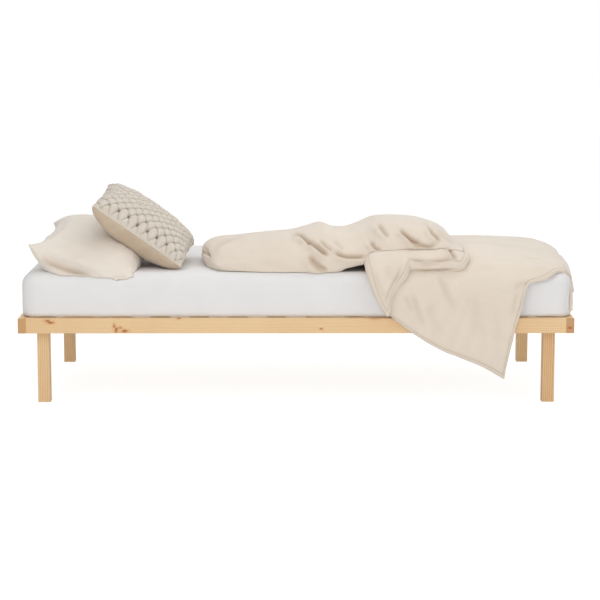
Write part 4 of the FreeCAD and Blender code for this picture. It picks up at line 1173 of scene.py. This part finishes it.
@dataclass
class Cushion:
    """Square cushion that leans on the pillow: thick knitted stitches in front, plain cloth behind."""

    lean: float = math.radians(35)
    roll: float = math.radians(7)
    side: float = 0.424
    draw: float = 0.012
    ear: float = 5 * MM  # how far the corners stand out
    crown: float = 0.064  # height of the knitted side over the seams, before it swells
    depth: float = 0.086  # depth of the plain side under them
    stitch: tuple[float, float] = (0.043, 0.058)  # size of one stitch up the slope and across the bed
    relief: float = 0.0095  # height of a stitch
    hole: float = 5.5 * MM  # radius of the hollow where four stitches meet
    body: str = "cushion"

    def build(self) -> BVHTree:
        """Build both halves.

        Returns:
            A search tree of the closed cushion.
        """
        corners = [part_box(name) for name in ("cushion_knit_front", "cushion_plain_back")]
        low = Vector(min(pair) for pair in zip(corners[0][0], corners[1][0]))
        high = Vector(max(pair) for pair in zip(corners[0][1], corners[1][1]))
        turn = Euler((0, self.lean, 0)).to_matrix() @ Euler((self.roll, 0, 0)).to_matrix()
        self.middle, self.turn = np.array((low + high) / 2), np.array(turn)
        case = self._case().build("cushion_case", bpy.data.materials.new("cutting_aid"))
        self._case().pucker(case, depth=9 * MM, reach=0.06, spacing=0.04, seed=2.0)
        Inflation(most=8 * MM).run(case)
        front = self._half(case, "knitted_cushion_front", upper=True)
        back = self._half(case, "plain_cushion_back", upper=False)
        self._knit(front)
        write_points(case, read_points(case) @ self.turn.T + self.middle)
        solid = tree_of(case)
        bpy.data.objects.remove(case)
        for piece, nodes, slot in ((front, ("cushion_knit_front", "cushion_pad"), "knitted_yarn"),
                                   (back, ("cushion_plain_back",), "beige_cloth")):
            write_points(piece, read_points(piece) @ self.turn.T + self.middle)
            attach(piece, self.body)
            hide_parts(*nodes)
        return solid

    def _case(self) -> StuffedForm:
        """The cushion's form in its own frame, with its seams in the XY plane."""
        half = self.side / 2
        ear, near = half + self.ear, half - 0.35 * self.draw

        def side_seam(fixed: int, along_x: bool) -> Edge:
            """Seam of one side, drawn in at its middle."""
            rows = []
            for share, reach, end in ((0.0, ear, ear), (0.12, near, half), (0.5, half - self.draw, half),
                                      (0.88, near, half), (1.0, ear, ear)):
                place = ((2 * share - 1) * end, fixed * reach)
                rows.append((share, *(place if along_x else place[::-1]), 0.0))
            return rows
        seams = [side_seam(fixed, along_x) for along_x in (True, False) for fixed in (-1, 1)]
        return StuffedForm(*seams, rise=lambda s, t: np.full_like(s, self.crown),
                           fall=lambda s, t: np.full_like(s, self.depth), cell=8 * MM,
                           sharpness=(2.5, 2.5), roundness=0.07)

    def _half(self, case: Object, name: str, upper: bool) -> Object:
        """Take one panel of the case, refine it and close it from within."""
        mesh = bmesh_of(case)
        panel = mesh.faces.layers.int["upper_panel"]
        other = [face for face in mesh.faces if bool(face[panel]) != upper]
        bmesh.ops.delete(mesh, geom=other, context="FACES")
        for _ in range(2 if upper else 1):
            bmesh.ops.subdivide_edges(mesh, edges=mesh.edges, cuts=1, use_grid_fill=True)
            inner = [point for point in mesh.verts if not point.is_boundary]
            for _ in range(3):
                bmesh.ops.smooth_vert(mesh, verts=inner, factor=0.5, use_axis_x=True, use_axis_y=True,
                                      use_axis_z=True)
        # the yarn's last two colours are painted shade, between the plies and deep between the stitches; the
        # canvas's second colour is painted shade where its crumples sink
        knit = SpunYarn("knitted_wool_yarn", "#e1d8cc", "#c9bdae", "#7a6c5c")
        plain = WovenCotton("beige_cotton_canvas", "#cfbda7", "#c1ad95", pitch=1.4 * MM, relief=0.35 * MM)
        return new_object(name, mesh, (knit if upper else plain).build())

    def _knit(self, front: Object) -> None:
        """Raise the stitches: plump lozenges in staggered rows, with small holes where four meet, and paint
        shade into the holes and between the stitches.
        """
        points, normals = read_points(front), read_normals(front)
        (wide, tall), (up, across) = self.stitch, self._unrolled(points).T
        best, hole = np.full(len(points), np.inf), np.zeros(len(points))
        for shift in (0.0, 0.5):
            cell_u = np.abs((up / wide + shift + 0.5) % 1 - 0.5) * 2
            cell_v = np.abs((across / tall + shift + 0.5) % 1 - 0.5) * 2
            best = np.minimum(best, cell_u + cell_v)
            gap = (cell_u * wide / 2) ** 2 + ((1 - cell_v) * tall / 2) ** 2
            hole = np.maximum(hole, np.exp(-gap / self.hole ** 2))
        plump = np.sqrt(np.maximum(1 - best ** 2.6, 0))
        uneven = fractal(points, (22.0, 22.0, 22.0), octaves=2, seed=5.0)
        rim = smooth_step(self._from_seam(front), 0.0, 0.022)
        push = self.relief * (plump * (1 + 0.25 * uneven) - 0.35 - 1.1 * hole) * rim
        write_points(front, points + normals * push[:, None])
        # painted shade in the holes and between the stitches, which the yarn reads
        shade = np.maximum(0.9 * hole, 0.4 * (1 - plump) ** 2) * rim
        front.data.attributes.new("hollow_shade", "FLOAT", "POINT").data.foreach_set("value", np.clip(shade, 0, 1))

    def _unrolled(self, points: np.ndarray) -> np.ndarray:
        """Distances from the middle along the knitted side's crown, up the slope and across the bed."""
        share = np.linspace(0, 1, 200)
        crown = self.crown * np.sqrt(1 - share ** 2.5)
        run = np.concatenate([[0], np.cumsum(np.hypot(np.diff(share * self.side / 2), np.diff(crown)))])
        return np.sign(points[:, :2]) * np.interp(np.abs(points[:, :2]) / (self.side / 2), share, run)

    @staticmethod
    def _from_seam(piece: Object) -> np.ndarray:
        """Distance of each point from the open border of a half."""
        mesh = bmesh_of(piece)
        tree = search_tree([point.co.copy() for point in mesh.verts if point.is_boundary])
        away = np.array([tree.find(point.co)[2] for point in mesh.verts])
        mesh.free()
        return away


@dataclass
class Pillow:
    """Filled pillow across the bed, whose front end droops over the mattress's rim."""

    rise: float = 0.098  # height of the crown over the seams, before it swells
    gap: float = 0.6 * MM  # between the pillow and the sheet
    dent_gap: float = 1.0 * MM  # between the pillow and the cushion
    body: str = "pillow"
    # Each fold also paints shade along its groove; the second line mostly paints shade under the ridge of the
    # first.
    creases: tuple[Crease, ...] = crease_lines(  # folds, as lines of the photograph's pixels
        (((30, 245), (45, 253), (60, 259.5), (77, 264.7), (94, 271.6), (110, 278),
         (118, 281)), 1.8, -12, 0.0),
        (((36, 253.5), (50, 263), (65, 268.5), (82, 273.5), (99, 279)), 2.6, 12, 0.0),
        (((58, 271.5), (75, 271), (88, 272.5)), 1.5, 3, 0.5),
        (((108, 279.2), (117, 277.4), (124, 277.4), (129, 279.6)), 1.2, 4, 0.5),
        (((62, 254), (75, 256), (92, 255)), 3.0, 2.5, 0.6),
        (((92, 222), (97, 228), (101, 236)), 2.5, 2.5, 0.7))

    def build(self, cushion: BVHTree, view: View) -> None:
        """Build the pillow and press it against what it touches.

        Args:
            cushion: search tree of the cushion, which dents it.
            view: the photograph's viewpoint.
        """
        form = StuffedForm(
            front=((0.0, -0.985, -0.405, 0.586), (0.12, -0.936, -0.436, 0.532),
                   (0.28, -0.862, -0.447, 0.484), (0.50, -0.768, -0.450, 0.468),
                   (0.74, -0.677, -0.454, 0.464), (0.90, -0.625, -0.454, 0.460),
                   (1.0, -0.592, -0.446, 0.468)),
            back=((0.0, -0.972, 0.240, 0.592), (0.5, -0.775, 0.228, 0.560), (1.0, -0.572, 0.238, 0.520)),
            left=((0.0, -0.985, -0.405, 0.586), (0.2, -0.957, -0.270, 0.574), (0.5, -0.945, -0.080, 0.575),
                  (0.8, -0.947, 0.110, 0.583), (1.0, -0.972, 0.240, 0.592)),
            right=((0.0, -0.592, -0.446, 0.468), (0.2, -0.580, -0.330, 0.506), (0.5, -0.572, -0.090, 0.515),
                   (0.8, -0.570, 0.110, 0.518), (1.0, -0.572, 0.238, 0.520)),
            rise=lambda s, t: self.rise * (1.0 - 0.12 * s) * (0.92 + 0.20 * t * (1.6 - t)),
            fall=lambda s, t: np.full_like(s, 0.12), sharpness=(2.6, 3.4), softness=0.62, roundness=0.01)
        # the pillow's second colour is painted shade where its slubs and crumples sink
        finish = WovenCotton("cotton_cream_pillow", "#e9e0d5", "#e4dace", follows=Coordinates.CUT, sheen=0.45)
        pillow = form.build("pillow_in_case", finish.build())
        form.pucker(pillow, depth=6 * MM, reach=0.075, spacing=0.045, seed=4.0)
        Inflation(most=7 * MM).run(pillow)
        press_creases(pillow, self.creases, view)
        keep_above(pillow, mattress_ground, self.gap)
        keep_below(pillow, cushion, self.dent_gap)
        keep_above(pillow, mattress_ground, self.gap)
        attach(pillow, self.body)
        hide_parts("pillowcase", "pillow_filling")


# --- Duvet ---

@dataclass(frozen=True)
class BedWrap:
    """How a flat cloth lies on the mattress and falls over its sides.

    The flat places are metres along the bed and across it, measured over the cloth.
    """

    top: float = 0.4825  # height of the mattress's top
    side_start: float = 0.407  # where the cloth starts to turn down, across the bed
    foot_start: float = 0.9555  # the same, along the bed
    side_radius: float = 0.065
    foot_radius: float = 0.050

    @staticmethod
    def _fall(place: np.ndarray, start: float,
              radius: float) -> tuple[np.ndarray, np.ndarray, np.ndarray]:
        """Return how far out a place lies, how far down, and its turn from level in radians."""
        over = np.maximum(place - start, 0)
        turn = np.minimum(over / radius, math.pi / 2)
        out = np.minimum(place, start) + radius * np.sin(turn)
        down = radius * (1 - np.cos(turn)) + np.maximum(over - radius * math.pi / 2, 0)
        return out, down, turn

    def lay(self, along: np.ndarray, across: np.ndarray, lift: np.ndarray | float) -> np.ndarray:
        """Lay flat places over the bed.

        Args:
            along: flat places along the bed.
            across: flat places across it, negative in front.
            lift: height above the bed's own surface, at right angles to it.

        Returns:
            The points.
        """
        x, down_x, turn_x = self._fall(along, self.foot_start, self.foot_radius)
        y, down_y, turn_y = self._fall(np.abs(across), self.side_start, self.side_radius)
        sign = np.sign(across)
        normal = np.stack([np.sin(turn_x), sign * np.sin(turn_y), np.cos(turn_x) * np.cos(turn_y)], axis=-1)
        normal /= np.maximum(np.linalg.norm(normal, axis=-1), 1e-9)[..., None]
        base = np.stack([x, sign * y, self.top - down_x - down_y], axis=-1)
        return base + normal * np.asarray(lift)[..., None]


Outline = Sequence[tuple[float, float]]


@dataclass
class QuiltedPanel:
    """A filled double cloth with a cut of its own, laid over the bed.

    Each edge holds flat places along the bed and across it.
    """

    head: Outline  # t runs from back to front at s = 0
    foot: Outline
    back: Outline  # s runs from head to foot at t = 0
    front: Outline
    lift: Callable[[np.ndarray, np.ndarray], np.ndarray]  # height of its underside over the bed
    loft: Callable[[np.ndarray, np.ndarray], np.ndarray]  # thickness inside the border
    hem: tuple[float, float] = (12 * MM, 9 * MM)  # thickness at the hem, on the bed and hanging in front
    border: float = 0.06  # width over which it thins out to the hem
    seam: float = 9 * MM  # width of the hem, up to its line of stitches
    cell: float = 7 * MM
    groove: float = 2.8 * MM  # depth of the stitches' groove
    groove_width: float = 2.4 * MM
    # painted shade in the groove of the hem's stitches
    groove_shade: float = 0.35
    lips: tuple[float, ...] = (0.30, 0.50, 0.60, 0.52, 0.34, 0.52, 0.60, 0.50, 0.30)  # the hem's bulge
    wrap: BedWrap = field(default_factory=BedWrap)

    def build(self, name: str, finish: Material) -> Object:
        """Build the closed panel.

        Args:
            name: the piece's name.
            finish: its material.

        Returns:
            The piece, with its flat cut in metres as UVs.
        """
        edges = [self._shared(edge) for edge in (self.back, self.front, self.head, self.foot)]
        self.sizes = [float(np.mean([self._run(edge)[-1] for edge in pair]))
                      for pair in ((self.back, self.front), (self.head, self.foot))]
        lines = [self._lines(size) for size in self.sizes]
        counts = [len(line) - 1 for line in lines]
        mesh = bmesh.new()
        cut = mesh.loops.layers.uv.new("cut")
        # painted shade of the hem's stitch grooves, kept in the crease attribute that the cloth darkens by
        shade = mesh.verts.layers.float.new("crease")
        flats = {}
        for upper in (True, False):
            made, cells = add_grid(mesh, counts)
            s, t = (line[cells[:, axis]] for axis, line in enumerate(lines))
            place = span_edges(*edges, s, t)
            along, across = place[:, 0], place[:, 1]
            thick, stitches = self.thickness(s, t, along, across)
            raised = self.lift(along, across) + (thick if upper else 0.0)
            for number, (point, at) in enumerate(zip(made, self.wrap.lay(along, across, raised))):
                point.co = at
                point[shade] = self.groove_shade * float(stitches[number])
                flats[point] = (along[number], across[number])
            if not upper:
                faces = {face for point in made for face in point.link_faces}
                bmesh.ops.reverse_faces(mesh, faces=list(faces))
        self._close_hem(mesh, flats)
        for face in mesh.faces:
            for loop in face.loops:
                loop[cut].uv = flats[loop.vert]
        bmesh.ops.recalc_face_normals(mesh, faces=mesh.faces)
        return new_object(name, mesh, finish)

    def _close_hem(self, mesh: bmesh.types.BMesh, flats: dict) -> None:
        """Close the border with a hem: two round lips with the seam between them."""
        rim = [edge for edge in mesh.edges if edge.is_boundary]
        wall_faces = bmesh.ops.bridge_loops(mesh, edges=rim)["faces"]
        walls = list({edge for face in wall_faces for edge in face.edges} - set(rim))
        cuts = len(self.lips)
        expected = {}
        for wall in walls:
            start, end = (point.co.copy() for point in wall.verts)
            for number, lip in enumerate(self.lips, 1):
                key = tuple(round(value, 6) for value in start.lerp(end, number / (cuts + 1)))
                expected[key] = (lip * (end - start).length / 2, flats[wall.verts[0]])
        before = set(mesh.verts)
        bmesh.ops.subdivide_edges(mesh, edges=walls, cuts=cuts, use_grid_fill=False)
        bmesh.ops.recalc_face_normals(mesh, faces=mesh.faces)
        mesh.normal_update()
        added = [point for point in mesh.verts if point not in before]
        keys = list(expected)
        nearest = search_tree(keys)
        moves = []
        for point in added:
            reach, flats[point] = expected[keys[nearest.find(point.co)[1]]]
            moves.append((point, point.normal * reach))
        for point, move in moves:
            point.co += move

    @staticmethod
    def _run(edge: Outline) -> np.ndarray:
        """Return the way along an edge to each of its places."""
        return np.concatenate([[0], np.cumsum(np.linalg.norm(np.diff(np.array(edge), axis=0), axis=1))])

    def _shared(self, edge: Outline) -> Edge:
        """Return an edge with the share of its way at each place."""
        run = self._run(edge)
        return [(way / run[-1], x, y, 0.0) for way, (x, y) in zip(run, edge)]

    def _lines(self, size: float) -> np.ndarray:
        """Return shares of a side: close together over the hem and even between."""
        hem = np.array([0.0, 0.35, 0.7, 1.0, 1.3, 1.8, 2.6]) * self.seam
        inner = np.linspace(hem[-1], size - hem[-1], max(4, round((size - 2 * hem[-1]) / self.cell)))
        return np.concatenate([hem, inner[1:-1], (size - hem)[::-1]]) / size

    def thickness(self, s: np.ndarray, t: np.ndarray, along: np.ndarray,
                  across: np.ndarray) -> tuple[np.ndarray, np.ndarray]:
        """Thickness at each place, and its share in the groove of the hem's stitches."""
        width = np.minimum(np.minimum(s, 1 - s) * self.sizes[0], np.minimum(t, 1 - t) * self.sizes[1])
        share = np.clip(width / self.border, 0, 1)
        lying = smooth_step(across, -0.50, -0.45)
        hem = self.hem[0] * lying + self.hem[1] * (1 - lying)
        stitches = np.exp(-((width - self.seam) / self.groove_width) ** 2)
        swell = np.maximum(self.loft(along, across) - hem, 0) * np.sqrt(share * (2 - share))
        return hem + swell - self.groove * stitches, stitches


@dataclass
class Duvet:
    """Thick cotton duvet: thrown back in a roll, folded over at the front, one corner hanging down."""

    view: View
    body: str = "duvet"
    gap: float = 1.0 * MM  # between the layers of cloth
    loft_along: tuple[tuple[float, float], ...] = (
        (0.25, 0.045), (0.45, 0.058), (0.70, 0.068), (0.80, 0.064), (0.89, 0.055), (0.95, 0.047),
        (1.0, 0.038), (1.04, 0.022), (1.15, 0.012))
    loft_across: tuple[tuple[float, float], ...] = (
        (-0.83, 0.18), (-0.50, 0.21), (-0.44, 0.30), (-0.34, 0.66), (-0.15, 0.97), (0.10, 1.0),
        (0.34, 0.66), (0.45, 0.25), (0.55, 0.16))
    hanging_loft: float = 0.017
    turned: tuple[float, float] = (0.43, 0.52)  # from where to where the layer turns down, in front
    # Folds of the hanging corner, nicks beside the nose with folds of the flap, and the roll's folds, all
    # as lines of the photograph's pixels. Each also paints shade along its groove; the roll's second line
    # mostly paints shade above the ridge of its first.
    layer_creases: tuple[Crease, ...] = crease_lines(
        (((438, 272), (441, 279), (445, 288), (449, 297), (455, 312)), 3.0, 6, 0.7),
        (((411, 290), (416, 305), (420, 316), (424, 330)), 2.4, 5, 0.7),
        (((404, 294), (408, 303), (413, 313)), 2.2, 5, 0.7),
        (((428, 300), (433, 318), (441, 336)), 4.0, 5, 0.6),
        (((470, 290), (476, 312), (480, 345)), 5.5, 5, 0.6),
        (((492, 300), (497, 330), (500, 360)), 4.0, 3, 0.6),
        (((519, 289), (516, 300), (512, 318)), 2.0, 4, 0.6),
        (((531, 282), (522, 284), (512, 290)), 2.0, 5, 0.5),
        (((466, 271), (480, 267), (497, 268)), 4.5, 5, 0.5),
        (((562, 262), (568, 272), (572, 284)), 2.0, 5, 0.6))
    fold_creases: tuple[Crease, ...] = crease_lines(
        (((405.5, 266), (408, 262.5), (412.7, 260.2), (419, 261), (426.4, 263), (436.8, 261.3),
         (448.8, 259), (457, 260.4), (464, 262.5)), 1.3, 7, 0.5),
        (((409, 267), (412, 264.5), (418, 264.6), (426, 266.3), (437, 264.8), (449, 262.6),
         (458, 264.0)), 1.1, 4, 0.4),
        (((407, 270.5), (416, 270.8), (430, 270.6), (445, 270), (460, 269.4)), 1.2, 7, 0.0),
        (((404.8, 267), (398.4, 275.6), (390, 289.5), (386.6, 300), (386.4, 311)), 1.1, 6, 0.4),
        (((444, 243), (449, 247), (453, 254.4), (456.6, 261)), 1.6, 14, 0.6),
        (((441, 245), (447, 252), (452, 259)), 1.4, 6, 0.6),
        (((394.6, 303), (395.5, 298), (393.5, 295)), 1.2, 7, 0.5),
        (((372, 268), (376, 280), (381, 294), (386, 305)), 2.6, 4, 0.6),
        (((384, 264), (388, 272), (390, 282)), 3.0, 4, 0.6),
        (((398, 262), (401, 267), (398, 276), (392, 286)), 2.2, 5, 0.7))
    roll_creases: tuple[Crease, ...] = crease_lines(
        (((206, 260), (219, 251), (234.6, 242), (251, 236), (266, 232)), 4.0, -8, 0.0),
        (((204, 255), (217, 246), (232, 239.5), (250, 235)), 3.4, 5, 0.0),
        (((290, 233), (301, 236), (308, 242), (310, 249)), 2.0, 15, 0.9),
        (((306, 239), (315, 246), (323.5, 252.7), (331, 256.5)), 1.9, 14, 0.9),
        (((318, 238.5), (325, 245.5), (334, 252)), 1.6, 9, 0.9),
        (((308, 252), (313, 261), (320, 268), (331, 273)), 2.8, 14, 0.7),
        (((331, 250.5), (338.6, 254.6), (347, 257), (361, 257), (369, 254.5)), 1.9, 14, 0.9),
        (((333, 240), (340, 245.5), (345, 251)), 2.0, 6, 0.7),
        (((368.7, 240.5), (374.8, 248), (382, 251.5)), 1.7, 12, 0.9),
        (((376.5, 223), (383.4, 232), (389.5, 238.5)), 2.0, 10, 0.9),
        (((397, 226.5), (404, 233.7), (412.7, 240.6), (424, 244.5)), 1.8, 16, 0.9),
        (((406, 238.5), (416, 245.5), (430, 246.5), (438.5, 243.5)), 1.8, 12, 0.6),
        (((426.5, 224), (433.3, 234.6), (442, 243)), 1.9, 14, 0.9),
        (((436, 227), (444, 236), (455, 246)), 2.2, 6, 0.8),
        (((212, 246), (222, 243), (232, 239)), 3.0, 3, 0.8),
        (((198, 249), (204, 252.5), (209, 255.5)), 1.4, 15, 0.8),
        (((202, 246), (206, 250), (209, 256), (212, 260)), 1.4, 9, 0.8),
        (((203, 258), (208, 262), (215, 268)), 1.3, 6, 0.8),
        (((250, 262), (275, 266), (300, 268)), 4.0, 3, 0.7))

    def build(self) -> None:
        """Build the layer on the bed, the fold at its front and the roll above them."""
        # the duvet's second colour is painted shade where its slubs and crumples sink
        cloth = WovenCotton("cotton_cream_duvet", "#e5d9ca", "#e0d3c3", follows=Coordinates.CUT,
                            sheen=0.45).build()
        pieces = []
        for name, form, depth, seed, creases in (
                ("duvet_layer", self._layer(), 4.0 * MM, 1.0, self.layer_creases),
                ("duvet_fold", self._fold(), 3.0 * MM, 6.0, self.fold_creases),
                ("duvet_roll", self._roll_form(), 3.0 * MM, 11.0, self.roll_creases)):
            piece = form.build(name, cloth)
            self._ripple(piece, depth, seed)
            press_creases(piece, creases, self.view)
            pieces.append(piece)
        layer, fold, roll = pieces
        keep_above(roll, self._ground_of((layer, fold)), self.gap)
        for piece in pieces:
            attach(piece, self.body)
        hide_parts("duvet")

    def _loft(self, along: np.ndarray, across: np.ndarray) -> np.ndarray:
        """Thickness of the layer on the bed."""
        share = curve_through(self.loft_across, across)
        hanging = smooth_step(-across, *self.turned)
        top = curve_through(self.loft_along, along) * share
        return top * (1 - hanging) + self.hanging_loft * hanging

    def _layer(self) -> QuiltedPanel:
        """The layer over the foot half of the bed, with a corner hanging in front and a skirt at the foot."""
        return QuiltedPanel(
            head=((0.28, 0.40), (0.24, 0.0), (0.27, -0.35), (0.338, -0.590)),
            foot=((1.10, 0.44), (1.126, 0.22), (1.130, -0.18), (1.130, -0.38), (1.120, -0.432),
                  (1.070, -0.430), (1.030, -0.414), (0.990, -0.406), (0.959, -0.427), (0.934, -0.450),
                  (0.904, -0.466), (0.860, -0.477), (0.842, -0.492), (0.821, -0.576), (0.797, -0.666),
                  (0.778, -0.744), (0.763, -0.831)),
            back=((0.28, 0.40), (0.38, 0.515), (0.58, 0.545), (0.90, 0.535), (1.03, 0.49), (1.10, 0.44)),
            front=((0.338, -0.590), (0.424, -0.658), (0.530, -0.724), (0.601, -0.753), (0.694, -0.792),
                   (0.763, -0.831)),
            lift=lambda along, across: np.full_like(along, self.gap), loft=self._loft)

    def _fold(self) -> QuiltedPanel:
        """The part that is turned over at the front, with its hem in view and a flap down the side."""
        return QuiltedPanel(
            head=((0.29, -0.16), (0.262, -0.30), (0.257, -0.370), (0.260, -0.438), (0.272, -0.478),
                  (0.292, -0.519), (0.322, -0.577), (0.334, -0.596)),
            foot=((0.55, -0.15), (0.590, -0.25), (0.618, -0.33), (0.634, -0.394), (0.612, -0.438)),
            back=((0.29, -0.16), (0.42, -0.14), (0.55, -0.15)),
            front=((0.334, -0.596), (0.341, -0.570), (0.343, -0.544), (0.352, -0.516), (0.374, -0.487),
                   (0.394, -0.468), (0.416, -0.438), (0.450, -0.441), (0.502, -0.441), (0.560, -0.442),
                   (0.590, -0.444), (0.612, -0.438)),
            lift=lambda along, across: self._loft(along, across) + 2 * self.gap,
            loft=lambda along, across: (0.024 + 0.027 * smooth_step(across, -0.50, -0.42)
                                        * (1 - 0.4 * smooth_step(along, 0.54, 0.64))),
            hem=(0.027, 0.014), border=0.060, cell=6 * MM)

    def _roll_form(self) -> StuffedForm:
        """The roll that is thrown back over the bed, thin at the head and humped over the fold."""
        left = ((0.0, -0.300, -0.402, 0.502), (0.5, -0.350, -0.19, 0.512), (1.0, -0.376, 0.04, 0.522))
        right = ((0.0, 0.628, -0.402, 0.545), (0.5, 0.622, -0.20, 0.560), (1.0, 0.590, 0.06, 0.550))
        crown = ((0.0, 0.098), (0.06, 0.088), (0.13, 0.076), (0.306, 0.080), (0.40, 0.097), (0.447, 0.108),
                 (0.50, 0.090), (0.556, 0.082), (0.60, 0.090), (0.65, 0.107), (0.76, 0.095), (0.837, 0.080),
                 (0.885, 0.070), (0.92, 0.056), (0.96, 0.026), (1.0, 0.016))
        return StuffedForm(
            front=((0.0, -0.300, -0.402, 0.502), (0.12, -0.18, -0.420, 0.512), (0.3, 0.0, -0.428, 0.516),
                   (0.42, 0.11, -0.428, 0.510), (0.50, 0.18, -0.420, 0.502), (0.57, 0.23, -0.414, 0.512),
                   (0.62, 0.28, -0.410, 0.528), (0.68, 0.34, -0.412, 0.550), (0.83, 0.48, -0.412, 0.566),
                   (0.93, 0.57, -0.408, 0.562), (1.0, 0.628, -0.402, 0.545)),
            back=((0.0, -0.376, 0.04, 0.522), (0.3, -0.08, 0.06, 0.520), (0.6, 0.22, 0.10, 0.535),
                  (0.8, 0.45, 0.12, 0.550), (1.0, 0.590, 0.06, 0.550)),
            left=left, right=right,
            rise=lambda s, t: curve_through(crown, s) * (
                1.05 - 0.7 * (1 - smooth_step(s, 0.0, 0.30)) * (1 - t) ** 1.3),
            fall=lambda s, t: 0.12 - 0.10 * smooth_step(s, 0.42, 0.52) * smooth_step(1 - t, 0.2, 0.6),
            cell=4.3 * MM, sharpness=(6.0, 3.0), roundness=0.05)

    def _ripple(self, piece: Object, depth: float, seed: float) -> None:
        """Add broad soft waves, which the filling makes under the cloth."""
        points, normals = read_points(piece), read_normals(piece)
        broad = fractal(points, (5.0, 6.0, 6.0), octaves=2, seed=seed)
        fine = fractal(points, (14.0, 20.0, 20.0), octaves=2, seed=seed + 3.3)
        write_points(piece, points + normals * (depth * (broad + 0.3 * fine))[:, None])

    def _ground_of(self, under: Sequence[Object]) -> Callable[[np.ndarray], np.ndarray]:
        """Return the height of the mattress and of the pieces on it, under each point."""
        trees = [tree_of(piece) for piece in under]

        def ground(points: np.ndarray) -> np.ndarray:
            """Read the height under each point."""
            height = mattress_ground(points)
            for number, point in enumerate(points):
                for tree in trees:
                    place = tree.ray_cast(Vector((point[0], point[1], 1.0)), Vector((0, 0, -1)))[0]
                    if place is not None and place.z > height[number]:
                        height[number] = place.z
            return height
        return ground


def main() -> None:
    """Build the pieces in order and report each."""
    logging.basicConfig(level=logging.INFO, format="%(name)s: %(message)s")
    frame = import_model()
    bpy.context.scene.view_settings.view_transform = "Standard"
    view = View()
    view.add_camera()
    Studio().build()
    LOG.info("studio and camera set")
    PineFrame(frame["nodes"]).dress()
    LOG.info("frame dressed")
    Mattress().build()
    LOG.info("mattress built")
    cushion = Cushion().build()
    LOG.info("cushion built")
    Pillow().build(cushion, view)
    LOG.info("pillow built")
    Duvet(view).build()
    LOG.info("duvet built")


if __name__ == "__main__":
    main()
